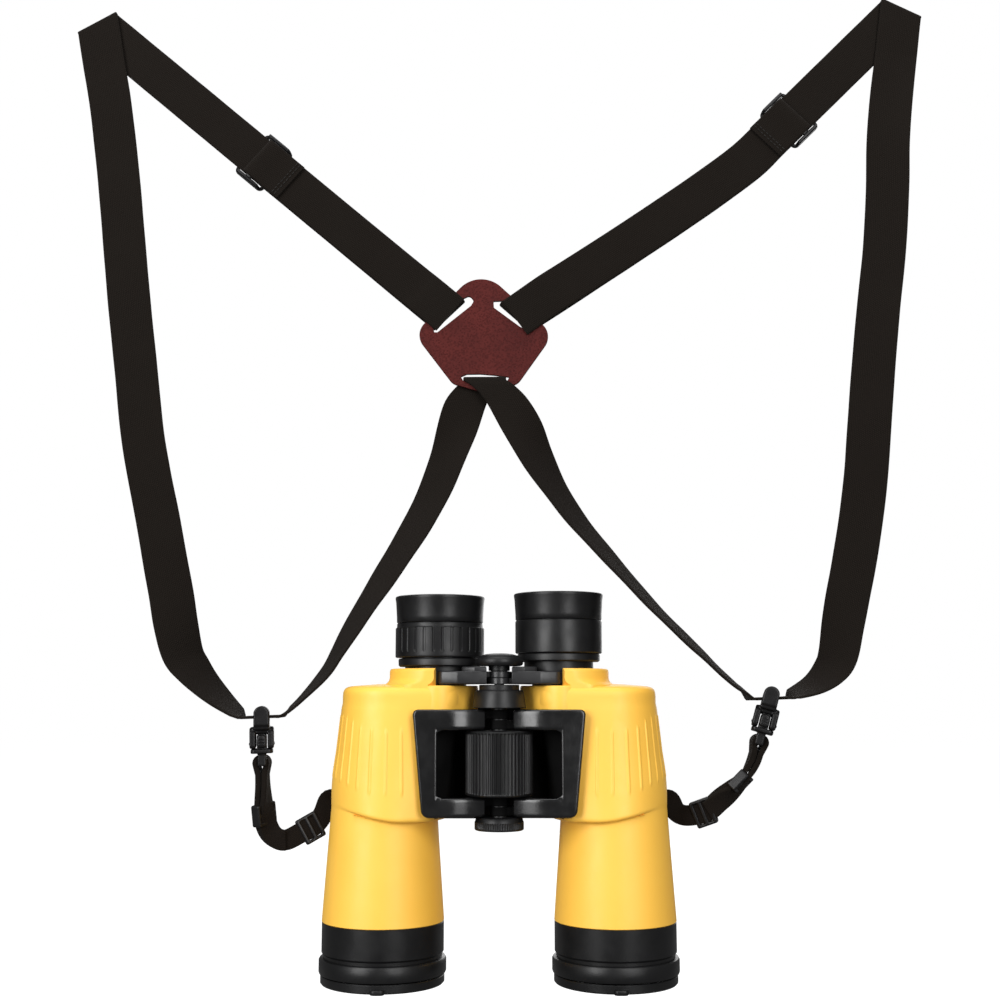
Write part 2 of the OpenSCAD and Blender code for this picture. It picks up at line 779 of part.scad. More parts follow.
module bridge_arm(side) {
    ring_r = 18.9;
    hub_ring_r = 9.5;
    half_h = (arm_z[1] - arm_z[0] - gap) / 2;
    own_z = side < 0 ? arm_z[1] - half_h : arm_z[0];
    other_z = side < 0 ? arm_z[0] : arm_z[1] - half_h;
    color(metal) difference() {
        union() {
            translate([0, 0, arm_z[0]]) linear_extrude(arm_z[1] - arm_z[0])
                polygon([[side * 6, hinge_y - 8], [side * (eyepiece_x - 7), hinge_y - 6],
                    [side * (eyepiece_x + 0.5), hinge_y], [side * eyepiece_x, 14],
                    [side * 12, 4], [side * 6, hinge_y + 8]]);
            translate([side * eyepiece_x, 0, 0]) disc(ring_r, arm_z[0], arm_z[1]);
            translate(hinge) disc(hub_ring_r, own_z, own_z + half_h);
        }
        translate(hinge) disc(journal_r + running, arm_z[0] - past, arm_z[1] + past);
        translate(hinge) disc(hub_ring_r + 0.7, other_z - (side < 0 ? past : gap),
            other_z + half_h + (side < 0 ? gap : past));
        translate([side * eyepiece_x, 0, 0]) disc(tube_r, arm_z[0] - past, arm_z[1] + past);
    }
}

module bridge_arm_left() bridge_arm(left);

module bridge_arm_right() bridge_arm(right);

// ---- Eyepieces ----

// Sliding tube, flange and the core that the ring and the cup fit round
module eyepiece(side, z) {
    lens_r = 11.7;
    color(metal) on_axis(side, eyepiece_x) difference() {
        union() {
            disc(tube_r, housing_top_z - 5.5, z[0]);
            disc(21.5, z[0], z[1] - gap);
            disc(core_r, z[1] - gap, z[3] - 8);
        }
        disc(lens_r, housing_top_z - 5.5 - past, z[3]);
    }
}

module eyepiece_left() eyepiece(left, eyepiece_z_left);

module eyepiece_right() eyepiece(right, eyepiece_z_right);

module dioptre_ring() {
    rib_count = 30;
    ring_r = 23.1;
    z0 = eyepiece_z_left[1];
    z1 = eyepiece_z_left[2] - gap;
    color(rubber) on_axis(left, eyepiece_x) difference() {
        tube(ring_r, core_r + running, z0, z1);
        for (i = [1:rib_count]) rotate([0, 0, i * 360 / rib_count])
            translate([ring_r + 0.3, 0, z0 + 1.5]) cylinder(r = 0.8, h = 12, $fn = 6);
    }
}

module eyepiece_sleeve() {
    color(rubber) on_axis(right, eyepiece_x)
        tube(22.6, core_r, eyepiece_z_right[1] - gap, eyepiece_z_right[2] - gap);
}

// A rubber cup that pulls up on the core
module eyecup(side, z) {
    lip_bore = 15.5;
    color(rubber) on_axis(side, eyepiece_x) difference() {
        translate([0, 0, z[2]]) cylinder(r1 = 22.6, r2 = 23.3, h = z[3] - z[2]);
        disc(core_r + gap, z[2] - past, z[3] - 7);
        disc(lip_bore, z[2], z[3] + past);
    }
}

module eyecup_left() eyecup(left, eyepiece_z_left);

module eyecup_right() eyecup(right, eyepiece_z_right);

module eye_lens(side, z, r) {
    color(glass) on_axis(side, eyepiece_x) disc(r, z[3] - 14, z[3] - 9.5);
}

module eye_lens_left() eye_lens(left, eyepiece_z_left, 11.4);

module eye_lens_right() eye_lens(right, eyepiece_z_right, 11.7);

back_patch();
shoulder_strap_left();
shoulder_strap_right();
chest_strap_left();
chest_strap_right();
stitched_loop_left();
stitched_loop_right();
slider_left();
slider_right();
strap_bight_left();
strap_bight_right();
buckle_socket_left();
buckle_socket_right();
buckle_plug_left();
buckle_plug_right();
prong_front_left();
prong_back_left();
prong_front_right();
prong_back_right();
connector_upper_left();
connector_upper_right();
connector_lower_left();
connector_lower_right();
upper_adjuster_left();
upper_adjuster_right();
lower_adjuster_left();
lower_adjuster_right();
strap_lug_left();
strap_lug_right();
hinge_shaft();
tripod_socket();
focus_wheel();
bridge_hub();
bridge_arm_left();
bridge_arm_right();
prism_housing_left();
prism_housing_right();
prisms_left();
prisms_right();
hinge_frame_left();
hinge_frame_right();
barrel_left();
barrel_right();
objective_collar_left();
objective_collar_right();
objective_lens_left();
objective_lens_right();
cover_ring_left();
cover_ring_right();
lens_cover_left();
lens_cover_right();
eyepiece_left();
eyepiece_right();
dioptre_ring();
eyepiece_sleeve();
eyecup_left();
eyecup_right();
eye_lens_left();
eye_lens_right();
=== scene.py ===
import cmath
import math

import bmesh
import bpy
import numpy as np
from mathutils import Matrix, Vector


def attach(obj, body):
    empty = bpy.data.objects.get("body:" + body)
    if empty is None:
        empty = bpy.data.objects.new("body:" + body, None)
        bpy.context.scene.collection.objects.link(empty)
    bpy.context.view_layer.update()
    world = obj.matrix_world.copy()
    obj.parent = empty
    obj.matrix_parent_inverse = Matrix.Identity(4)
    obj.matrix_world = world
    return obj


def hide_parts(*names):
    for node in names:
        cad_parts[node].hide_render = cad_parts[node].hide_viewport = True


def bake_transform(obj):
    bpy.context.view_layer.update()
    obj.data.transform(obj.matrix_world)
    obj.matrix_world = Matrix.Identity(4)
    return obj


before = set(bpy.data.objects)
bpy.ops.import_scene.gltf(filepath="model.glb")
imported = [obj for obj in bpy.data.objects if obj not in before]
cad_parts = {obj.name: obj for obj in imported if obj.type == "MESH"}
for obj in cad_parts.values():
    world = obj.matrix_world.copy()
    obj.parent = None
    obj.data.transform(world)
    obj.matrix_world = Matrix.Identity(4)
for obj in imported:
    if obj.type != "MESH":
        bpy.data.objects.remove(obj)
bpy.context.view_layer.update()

# Lengths are in millimetres until a mesh is made. +X is right, -Y the front.
MM = 0.001
HINGE_Y = -17.7
EYE_X, OBJECTIVE_X = 31, 59
# Heights of the hinge frame and of the window in it, and of the bridge's arms
FRAME_LOW, WINDOW_LOW, WINDOW_HIGH, FRAME_HIGH = -439.5, -429.8, -396.8, -386.5
ARM_LOW, ARM_HIGH = -374, -367.5
# Depth and height of the lens covers' hinges
COVER_HINGE = (35, -517.3)
STRAP_W, STRAP_T = 23, 1.4
CONNECTOR_W, CONNECTOR_T = 10.5, 2.8
# How far the webbing's middle lies from the middle plane: on a back strap, at
# the patch and at a shoulder
LAYER_Y, PATCH_LAYER_Y, FOLD_Y = 0.9, 2.1, 1.1
SIDES = ((-1, "left"), (1, "right"))
QUARTERS = ((-1, -1), (1, -1), (1, 1), (-1, 1))


# ---- Camera, light and floor ----

# The stage is in metres. Each light: its place, the height on the middle line that
# it points at, its width and height, and its watts
FLOOR_Z, FLOOR_REACH = -0.62, 6
LIGHTS = {
    "key": ((-0.95, -1.15, 0.1), -0.33, (0.7, 1.3), 22),
    "fill": ((0.62, -1.3, 0.1), -0.33, (0.6, 1.3), 15.5),
    "top": ((0, -0.1, 1.1), -0.3, (1.4, 1.0), 12),
    "back": ((0.3, 1.5, 0.1), -0.33, (1.2, 1.2), 8)}


def set_stage():
    scene = bpy.context.scene
    data = bpy.data.cameras.new("camera")
    data.lens, data.sensor_width = 49.22, 36
    data.clip_start, data.clip_end = 0.01, 50
    scene.camera = placed("camera", data)
    scene.camera.location = (0.0004, -0.718, -0.378)
    scene.camera.rotation_euler = (math.radians(98), 0, 0)
    scene.view_settings.view_transform = "Standard"
    scene.view_settings.look = "None"

    for name, (place, aim_z, size, watts) in LIGHTS.items():
        light = bpy.data.lights.new(name, "AREA")
        light.shape, light.size, light.size_y = "RECTANGLE", size[0], size[1]
        light.energy = watts
        o = placed(name, light)
        o.location = place
        view = Vector((0, 0, aim_z)) - Vector(place)
        o.rotation_euler = view.to_track_quat("-Z", "Y").to_euler()

    # White as the camera sees it, and much dimmer as the object is lit by it
    world = bpy.data.worlds.new("world")
    world.use_nodes = True
    scene.world = world
    nodes, links = world.node_tree.nodes, world.node_tree.links
    nodes.clear()
    path, mix = nodes.new("ShaderNodeLightPath"), nodes.new("ShaderNodeMixShader")
    links.new(path.outputs["Is Camera Ray"], mix.inputs[0])
    for i, strength in ((1, 0.17), (2, 1.0)):
        n = nodes.new("ShaderNodeBackground")
        n.inputs["Color"].default_value = (1, 1, 1, 1)
        n.inputs["Strength"].default_value = strength
        links.new(n.outputs[0], mix.inputs[i])
    links.new(mix.outputs[0], nodes.new("ShaderNodeOutputWorld").inputs[0])

    # A white floor that is seen but lights nothing
    mesh = bpy.data.meshes.new("floor")
    corners = [(a * FLOOR_REACH, b * FLOOR_REACH, FLOOR_Z) for a, b in QUARTERS]
    mesh.from_pydata(corners, [], [(0, 1, 2, 3)])
    floor = placed("floor", mesh)
    paper = Finish("floor_paper", (0.3, 0.3, 0.3), 0.9, Specular_IOR_Level=0.0,
                   Emission_Strength=0.95)
    paper.shader.inputs["Emission Color"].default_value = (1, 1, 1, 1)
    paper.colour((0.3, 0.3, 0.3), (0.28, 0.28, 0.28), paper.noise(3))
    mesh.materials.append(paper.material)
    floor.visible_diffuse = floor.visible_glossy = False


# ---- Materials ----

class Finish:
    """A material with a Principled shader, built from a few procedural nodes."""

    def __init__(self, name, base, roughness, **sockets):
        self.material = bpy.data.materials.new(name)
        self.material.use_nodes = True
        self.tree = self.material.node_tree
        self.shader = self.tree.nodes["Principled BSDF"]
        self.shader.inputs["Base Color"].default_value = (*base, 1)
        self.shader.inputs["Roughness"].default_value = roughness
        for key, value in sockets.items():
            self.shader.inputs[key.replace("_", " ")].default_value = value
        self.place = None
        self.height = None

    def add(self, kind, inputs, **settings):
        """Adds a node. Its inputs are sockets to link or plain values."""
        n = self.tree.nodes.new("ShaderNode" + kind)
        for key, value in settings.items():
            setattr(n, key, value)
        for key, value in inputs.items():
            if isinstance(value, bpy.types.NodeSocket):
                self.tree.links.new(value, n.inputs[key])
            else:
                n.inputs[key].default_value = value
        return n

    def math(self, operation, *inputs):
        return self.add("Math", dict(enumerate(inputs)), operation=operation).outputs[0]

    def where(self):
        """The point on the piece, in metres, as it was modelled."""
        if self.place is None:
            self.place = self.add("TexCoord", {}).outputs["Object"]
        return self.place

    def noise(self, scale, detail=3.0, rough=0.55):
        inputs = {"Vector": self.where(), "Scale": scale, "Detail": detail, "Roughness": rough}
        return self.add("TexNoise", inputs).outputs["Fac"]

    def cells(self, scale, feature="F1"):
        inputs = {"Vector": self.where(), "Scale": scale}
        return self.add("TexVoronoi", inputs, feature=feature).outputs["Distance"]

    def spread(self, value, low, high, to_low=0.0, to_high=1.0):
        inputs = {"Value": value, "From Min": low, "From Max": high, "To Min": to_low,
                  "To Max": to_high}
        return self.add("MapRange", inputs, interpolation_type="SMOOTHSTEP").outputs["Result"]

    def colour(self, a, b, by):
        mix = self.add("Mix", {"Factor": by}, data_type="RGBA")
        for name, value in (("A", a), ("B", b)):
            target = [k for k in mix.inputs if k.name == name and k.type == "RGBA"][0]
            if isinstance(value, bpy.types.NodeSocket):
                self.tree.links.new(value, target)
            else:
                target.default_value = (*value, 1)
        out = [k for k in mix.outputs if k.type == "RGBA"][0]
        self.tree.links.new(out, self.shader.inputs["Base Color"])
        return out

    def rough(self, low, high, by):
        self.tree.links.new(self.spread(by, 0.3, 0.7, low, high), self.shader.inputs["Roughness"])

    def bump(self, height, depth):
        """Adds a relief of a depth in millimetres."""
        n = self.add("Bump", {"Strength": 1.0, "Distance": depth * MM, "Height": height})
        if self.height is not None:
            self.tree.links.new(self.height, n.inputs["Normal"])
        self.height = n.outputs["Normal"]
        self.tree.links.new(self.height, self.shader.inputs["Normal"])

    def cloth(self):
        """How far along and across the cloth a point is, in metres."""
        place = self.add("Attribute", {}, attribute_name="cloth").outputs["Vector"]
        return self.add("SeparateXYZ", {0: place}).outputs[:2]


def make_webbing(name, warp, weft):
    """A fine woven elastic: raised warp cords crossed by the weft."""
    f = Finish(name, (0.01, 0.008, 0.006), 0.88, Sheen_Weight=0.035, Sheen_Roughness=0.5,
               Specular_IOR_Level=0.08)
    f.shader.inputs["Sheen Tint"].default_value = (0.75, 0.7, 0.66, 1)
    along, across = f.cloth()
    wobble = f.math("MULTIPLY", f.noise(260), 0.0006)
    across = f.math("ADD", across, wobble)
    row = f.math("MULTIPLY", along, 1 / weft)
    cord = f.math("MULTIPLY", across, 1 / warp)
    shift = f.math("MULTIPLY", f.math("FLOOR", cord), 0.5)
    pick = f.math("ADD", row, shift)
    picks = f.math("ABSOLUTE", f.math("SINE", f.math("MULTIPLY", pick, math.pi)))
    cords = f.math("ABSOLUTE", f.math("SINE", f.math("MULTIPLY", cord, math.pi)))
    weave = f.math("MULTIPLY", f.math("POWER", cords, 0.6), f.math("POWER", picks, 0.5))
    worn = f.noise(38, 4)
    # The hollows between the cords are painted darker than the cords: painted shade in the weave,
    # besides the relief of the bump
    base = f.colour((0.0035, 0.0026, 0.0019), (0.0115, 0.0085, 0.0065), weave)
    f.colour(base, (0.009, 0.0068, 0.0052), f.spread(worn, 0.35, 0.75, 0.0, 0.6))
    f.bump(weave, 0.16)
    f.bump(f.noise(4200, 2), 0.05)
    return f.material


def make_leather(name, dark, light):
    f = Finish(name, dark, 0.62, Specular_IOR_Level=0.08)
    grain = f.cells(950, "SMOOTH_F1")
    fine = f.noise(2600, 4)
    patches = f.noise(55, 5, 0.6)
    base = f.colour(dark, light, f.spread(patches, 0.3, 0.72))
    # The pits of the grain are painted darker: painted shade in the pits, besides their relief
    f.colour(base, tuple(x * 0.55 for x in dark), f.spread(grain, 0.55, 0.15, 0.0, 0.55))
    f.rough(0.52, 0.74, patches)
    f.bump(f.spread(grain, 0.1, 0.6), 0.14)
    f.bump(fine, 0.05)
    return f.material


def make_moulded(name, base, roughness, grain, depth, specular):
    """Moulded plastic, rubber or paint: a fine grain and slightly uneven gloss."""
    swing = 0.05
    f = Finish(name, base, roughness, Specular_IOR_Level=specular)
    cloud = f.noise(35, 4)
    f.colour(base, tuple(min(1, x * 1.22 + 0.002) for x in base), f.spread(cloud, 0.35, 0.7))
    f.rough(roughness - swing, roughness + swing, f.noise(120, 4))
    f.bump(f.noise(grain, 2), depth)
    return f.material


def make_armour():
    f = Finish("armour_yellow", (0.97, 0.54, 0.07), 0.46, Specular_IOR_Level=0.5)
    cloud = f.noise(14, 4)
    base = f.colour((0.955, 0.52, 0.063), (0.98, 0.565, 0.078), f.spread(cloud, 0.3, 0.72))
    f.colour(base, (0.92, 0.47, 0.05), f.spread(f.noise(420, 3), 0.62, 0.85, 0, 0.25))
    f.rough(0.42, 0.5, f.noise(160, 3))
    f.bump(f.noise(2300, 2), 0.028)
    f.bump(f.cells(1300), 0.012)
    return f.material


def make_glass(name, tint):
    f = Finish(name, tint, 0.03, Transmission_Weight=0.85, IOR=1.52, Coat_Weight=0.6,
               Coat_Roughness=0.02)
    f.shader.inputs["Coat Tint"].default_value = (0.6, 0.95, 0.75, 1)
    f.colour(tint, tuple(x * 0.8 for x in tint), f.noise(25))
    return f.material


webbing = make_webbing("webbing_black", 0.00095, 0.0011)
connector_webbing = make_webbing("connector_webbing", 0.0008, 0.0009)
leather = make_leather("leather_brown", (0.06, 0.0095, 0.0085), (0.088, 0.0165, 0.0145))
leather_edge = make_leather("leather_cut_edge", (0.03, 0.009, 0.008), (0.06, 0.018, 0.015))
plastic = make_moulded("buckle_plastic_black", (0.0045, 0.0042, 0.0045), 0.38, 900, 0.015, 0.24)
rubber = make_moulded("rubber_black", (0.005, 0.005, 0.0053), 0.36, 2200, 0.02, 0.3)
paint = make_moulded("paint_satin_black", (0.0035, 0.0035, 0.0038), 0.21, 2600, 0.008, 0.62)
satin = make_moulded("paint_matt_black", (0.0045, 0.0045, 0.0048), 0.4, 2600, 0.012, 0.35)
arm_paint = make_moulded("paint_arm_grey", (0.016, 0.016, 0.017), 0.32, 2600, 0.01, 0.45)
# A near-black matte that stands in for shade: painted shade on faces that lie in shadow
painted_shade = make_moulded("painted_shade_black", (0.002, 0.002, 0.002), 0.85, 700, 0.05, 0.08)
thread = make_moulded("stitch_thread", (0.008, 0.007, 0.006), 0.7, 3000, 0.05, 0.3)
armour = make_armour()
glass = make_glass("glass_coated", (0.62, 0.72, 0.7))


# ---- Meshes ----

# A turned solid stops this far from its axis, so that no face has zero area
AXIS_R = 0.01


def loft(rings, loop=False):
    """One closed solid through rings of points that match one to one."""
    rings = np.asarray(rings, float)
    m, n, _ = rings.shape
    faces = [(i % m * n + j, i % m * n + (j + 1) % n, (i + 1) % m * n + (j + 1) % n,
              (i + 1) % m * n + j)
             for i in range(m if loop else m - 1) for j in range(n)]
    if not loop:
        faces += [tuple(range(n))[::-1], tuple(range((m - 1) * n, m * n))]
    return rings.reshape(-1, 3), faces


def lathe(profile, n=96, loop=False, centre=(0, 0), shape=None):
    """A solid turned about a vertical axis, from (radius, height) pairs."""
    t = np.arange(n) * 2 * math.pi / n
    profile = np.array(profile, float)
    r, z = np.repeat(profile[:, :1], n, 1), np.repeat(profile[:, 1:], n, 1)
    if shape:
        r = shape(r, z, t)
    return loft(np.stack([centre[0] + r * np.cos(t), centre[1] + r * np.sin(t), z], -1), loop)


def pin(r, low, high, edge=0.2, n=28, centre=(0, 0), rise=None):
    """A round bar about a vertical axis, with its ends cut back."""
    rise = edge if rise is None else rise
    return lathe([(AXIS_R, low), (r - edge, low), (r, low + rise), (r, high - rise),
                  (r - edge, high), (AXIS_R, high)], n, False, centre)


def lens(r, top, rise, bottom, drop, n, steps, centre):
    """A lens with its edge between two heights and a bulge above and below."""
    bow = np.linspace(0.02, 1, steps)
    up = [(r * k, top + rise * (1 - k * k)) for k in bow]
    down = [(r * k, bottom - drop * (1 - k * k)) for k in bow[::-1]]
    return lathe(up + down, n, False, centre)


def rounded(corners, steps=5):
    """An outline from (x, y) or (x, y, radius) corners, with those corners rounded."""
    out, n = [], len(corners)
    for i, corner in enumerate(corners):
        p = complex(*corner[:2])
        r = corner[2] if len(corner) > 2 else 0
        if r == 0:
            out.append((p.real, p.imag))
            continue
        a, b = complex(*corners[i - 1][:2]), complex(*corners[(i + 1) % n][:2])
        u, v = (a - p) / abs(a - p), (b - p) / abs(b - p)
        half = abs(cmath.phase(v / u)) / 2
        d = min(r / math.tan(half), 0.49 * abs(a - p), 0.49 * abs(b - p))
        r = d * math.tan(half)
        middle = p + (u + v) / abs(u + v) * r / math.sin(half)
        first = p + u * d - middle
        turn = cmath.phase((p + v * d - middle) / first)
        arc = [middle + first * cmath.exp(1j * turn * k / steps) for k in range(steps + 1)]
        out += [(q.real, q.imag) for q in arc]
    return out


def inset(outline, d):
    """An outline drawn inwards by a distance; it runs anticlockwise."""
    p = np.array(outline) @ np.array([1, 1j])
    u = np.roll(p, -1) - p
    u /= np.abs(u)
    a, b = -1j * np.roll(u, 1), -1j * u
    return p - (a + b) / (1 + (a * b.conj()).real) * d


def slab(outline, low, high, edge=0.5, steps=3, low_edge=None):
    """A plate with rounded edges: the outline in x and y, between two heights."""
    p = np.array(outline)
    if 0.5 * np.sum(p[:, 0] * np.roll(p[:, 1], -1) - np.roll(p[:, 0], -1) * p[:, 1]) < 0:
        p = p[::-1]
    low_edge = edge if low_edge is None else low_edge
    levels = [(low_edge * (1 - math.sin(a)), low + low_edge * (1 - math.cos(a)))
              for a in np.linspace(0, math.pi / 2, steps + 1)]
    levels += [(edge * (1 - math.sin(a)), high - edge * (1 - math.cos(a)))
               for a in np.linspace(math.pi / 2, 0, steps + 1)]
    rings = []
    for d, z in levels:
        q = inset(p, d)
        rings.append(np.stack([q.real, q.imag, np.full(len(q), z)], -1))
    return loft(rings)


def block(low, high, edge=0.5, steps=2):
    """A box with rounded edges."""
    (x0, y0, z0), (x1, y1, z1) = low, high
    return slab(rounded([(x0, y0, edge), (x1, y0, edge), (x1, y1, edge), (x0, y1, edge)], steps),
                z0, z1, edge, steps)


def moved(solid, matrix):
    points, faces = solid
    m = np.array(matrix)
    return np.asarray(points) @ m[:3, :3].T + m[:3, 3], faces


def upright(solid):
    """Stands a solid drawn in x and y up: its y becomes height and its height depth."""
    return moved(solid, [[1, 0, 0, 0], [0, 0, 1, 0], [0, 1, 0, 0], [0, 0, 0, 1]])


def mirrored(solid, side):
    points, faces = solid
    return np.asarray(points) * (side, 1, 1), faces


def joined(*solids):
    points, faces, start = [], [], 0
    for p, f in solids:
        points.append(np.asarray(p))
        faces += [tuple(i + start for i in face) for face in f]
        start += len(p)
    return np.concatenate(points), faces


def declare(o, body, nodes):
    """Hangs a piece on the empty of its body and hides the CAD nodes that it stands for."""
    if body:
        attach(o, body)
    if nodes:
        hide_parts(*nodes)
    return o


def placed(name, mesh):
    o = bpy.data.objects.new(name, mesh)
    bpy.context.scene.collection.objects.link(o)
    return o


def evaluated_mesh(o):
    """The mesh of an object with its modifiers or its curve worked out."""
    return bpy.data.meshes.new_from_object(
        o.evaluated_get(bpy.context.evaluated_depsgraph_get()))


def mesh_of(name, solid, materials, sharp):
    points, faces = solid
    mesh = bpy.data.meshes.new(name)
    mesh.from_pydata((np.asarray(points) * MM).tolist(), [], faces)
    b = bmesh.new()
    b.from_mesh(mesh)
    bmesh.ops.recalc_face_normals(b, faces=b.faces)
    b.to_mesh(mesh)
    b.free()
    for m in materials:
        mesh.materials.append(m)
    mesh.polygons.foreach_set("use_smooth", [True] * len(mesh.polygons))
    mesh.set_sharp_from_angle(angle=math.radians(sharp))
    return mesh


def piece(name, solid, body, nodes, material, sharp=32, extra=(), index=None):
    """Makes a solid into a piece that rides on a body and stands for CAD nodes."""
    mesh = mesh_of(name, solid, (material, *extra), sharp)
    if index is not None:
        mesh.polygons.foreach_set("material_index", np.asarray(index, np.int32))
    return declare(placed(name, mesh), body, nodes)


def fused(name, solid, body, nodes, material, voxel=0.4, smooth=3):
    """Melts overlapping solids into one moulded piece with soft edges."""
    o = placed(name, mesh_of(name, solid, (material,), 32))
    remesh = o.modifiers.new("fuse", "REMESH")
    remesh.mode, remesh.voxel_size = "VOXEL", voxel * MM
    soften = o.modifiers.new("soften", "SMOOTH")
    soften.factor, soften.iterations = 0.5, smooth
    final = evaluated_mesh(o)
    o.modifiers.clear()
    o.data = final
    final.name = name
    final.polygons.foreach_set("use_smooth", [True] * len(final.polygons))
    return declare(o, body, nodes)


# ---- Armoured halves ----

def hull_radius(discs, angles, centre):
    """Distance from a centre to the hull of some discs (x, y, r), at each angle."""
    phi = np.linspace(0, 2 * math.pi, 1440, endpoint=False)
    reach = np.max([(x - centre) * np.cos(phi) + y * np.sin(phi) + r for x, y, r in discs], 0)
    facing = np.cos(angles[:, None] - phi[None, :])
    return np.where(facing > 0.02, reach / np.maximum(facing, 0.02), 1e9).min(1)


def ease(x, low, high):
    t = np.clip((x - low) / (high - low), 0, 1)
    return t * t * (3 - 2 * t)


# The middle of a housing's rings, and the radii of the barrel below it
HOUSING_X = 57
BARREL_TOP_Z, BARREL_END_Z = -441, -492.6
BARREL_TOP_R, BARREL_END_R = 27.4, 31
CROWN_Z, WALL_Z = -375.1, -383.6
LIP_Z, LIP_RISE = -442, 5.6
TURRET_R, TURRET_BORE = 25.9, 19.4
RIB_ANGLES = (-17, -1.5, 14.5, 28.5, 41, 53, 65, 77)
RIB_MARKS = sorted(m for a in RIB_ANGLES for m in (a - 90, 90 - a))
RIB_HEIGHT, RIB_R = 0.33, 29


def armour_angles():
    """Angles round a housing, closer together at each rib."""
    steps = (-2.6, -2.1, -1.7, -1.3, -0.7, 0, 0.7, 1.3, 1.7, 2.1, 2.6)
    fine = [m + d for m in RIB_MARKS for d in steps]
    coarse = [a for a in np.arange(-180, 180, 2.5) if min(abs(a - m) for m in RIB_MARKS) > 3.2]
    return np.radians(sorted(fine + coarse))


def shoulder_reach(t):
    return hull_radius([(55.5, 0, 25.6), (30.2, -16, 10), (30.2, 16, 10)], t, HOUSING_X)


def barrel_reach(t, z):
    down = np.clip((BARREL_TOP_Z - z) / (BARREL_TOP_Z - BARREL_END_Z), -0.1, 1)
    r = BARREL_TOP_R + (BARREL_END_R - BARREL_TOP_R) * down
    x = OBJECTIVE_X - HOUSING_X
    return x * np.cos(t) + np.sqrt(r * r - (x * np.sin(t)) ** 2)


def rib_shape(t, z):
    """How much of a grip rib's height each point of a ring has."""
    share = np.zeros(len(t))
    for a in RIB_ANGLES:
        high = -396.5 + 7 * float(ease(np.array(a), 15, 60))
        low = -428.5 + 7 * float(ease(np.array(a), 0, 70))
        past = np.maximum(0, np.maximum(z - high + 0.9, low + 0.9 - z))
        for mark in (a - 90, 90 - a):
            across = np.radians(np.degrees(t) - mark) * RIB_R
            share = np.maximum(share, 1 - ease(np.hypot(across, past), 0.35, 1.0))
    return share


def armour_skin(t, shoulder):
    """Housing and barrel in one skin, with the grip ribs and the lip between them."""
    skirt = hull_radius([(57, 0, 30.5), (41, -16, 10), (41, 16, 10)], t, HOUSING_X)
    lip = LIP_Z + LIP_RISE * ease(np.cos(t), -0.35, 1.0)
    flush = ease(np.cos(t), 0.2, 0.95)
    at_lip = barrel_reach(t, lip)

    def wall_at(z, v):
        """The housing's wall, which runs flush into the barrel on the outer side."""
        w = shoulder + (skirt - shoulder) * np.clip((-z - 381) / 60, 0, 1.1)
        return w - (w - at_lip - 0.1) * flush * ease(v, 0.45, 1)

    rows = []
    # The crown: how far in from the shoulder, and how high, lower under the arm
    for d, z in ((27, -373.5), (23, -373.7), (18, -373.9), (14, -374.2), (10.5, -374.5),
                 (7.3, -374.7), (4.5, -374.95), (3, -375.25), (1.9, -375.7), (1.1, -376.3),
                 (0.55, -377.1), (0.2, -378.1), (0.05, -379.4), (0, -380.8), (0, WALL_Z)):
        r = np.maximum(shoulder - d, 1 + 0.05 * (27 - d))
        x, y = HOUSING_X + r * np.cos(t), r * np.sin(t)
        under_arm = 1 - ease(x, 32, 40) * ease(np.hypot(x - EYE_X, y), 19, 24)
        rows.append((r, np.minimum(z, CROWN_Z + 4 * (1 - under_arm))))
    for v in np.linspace(0.045, 1, 46):
        z = WALL_Z + (lip + 2.0 - WALL_Z) * v
        rows.append((wall_at(z, v), z))
    # Round under the lip and on to the barrel
    wall = wall_at(lip, 1)
    for d, drop in ((0.15, 1.2), (0.45, 0.6), (0.95, 0.2), (1.6, 0.0)):
        rows.append((np.maximum(wall - d, at_lip), lip + drop))
    for rise, z in ((1.0, -0.1), (0.45, -0.4), (0.15, -0.9), (0, -1.6)):
        step = rise * (wall > at_lip + 1.2)
        rows.append((np.maximum(barrel_reach(t, lip + z) + step, 0), lip + z))
    for v in np.linspace(0.06, 1, 22):
        z = lip - 1.6 + (BARREL_END_Z + 0.3 - lip + 1.6) * v
        rows.append((barrel_reach(t, z), z))
    end = np.full(len(t), BARREL_END_Z)
    rows += [(barrel_reach(t, end) - 0.3, end), (np.full(len(t), 25.0), end)]
    rings = []
    for r, z in rows:
        r = r + RIB_HEIGHT * rib_shape(t, z)
        rings.append(np.stack([HOUSING_X + r * np.cos(t), r * np.sin(t), z], -1))
    return loft(rings)


def make_turret(t, shoulder):
    """The wall round the eyepiece, flared a little where it meets the crown."""
    out = np.exp(1j * np.radians(np.linspace(-87.6, 87.6, 61)))
    back = np.exp(1j * np.radians(np.linspace(86.8, -86.8, 61)))
    rings = []
    for grow, widen, z in ((3.4, 0, -376.4), (3.4, 0, -374.3), (1.9, 0, -373.7),
                           (0.9, 0, -372.9), (0.3, 0, -371.9), (0, 0, -370.6), (0, 0, -367.6),
                           (-0.25, 0, -366.7), (-0.8, 0.2, -366.15), (-1.5, 0.7, -366)):
        outside = EYE_X + (TURRET_R + grow) * out - HOUSING_X
        # The foot stays on the crown
        reach = np.interp(np.angle(outside), t, shoulder) - 1.3
        outside = HOUSING_X + outside * np.minimum(1, reach / np.abs(outside))
        both = np.concatenate([outside, EYE_X + (TURRET_BORE + widen) * back])
        # Its two ends are cut off flat, beside the arm of the bridge
        rings.append(np.column_stack([np.maximum(both.real, 32.1), both.imag,
                                      np.full(len(both), z)]))
    return loft(rings)


def shoulder_beside_hinge():
    """The shoulder runs on beside the hinge, under the arm."""
    a, middle = np.radians(np.arange(0, 360, 3)), 28
    r = hull_radius([(20.5, -2, 9.5), (20.5, 6, 9.5), (31, -16.6, 9.8), (31, 16, 9.8)], a, middle)
    outline = np.stack([middle + r * np.cos(a), r * np.sin(a)], -1)
    return slab(outline, -388, -374.7, 0.9, 4, 0.4)


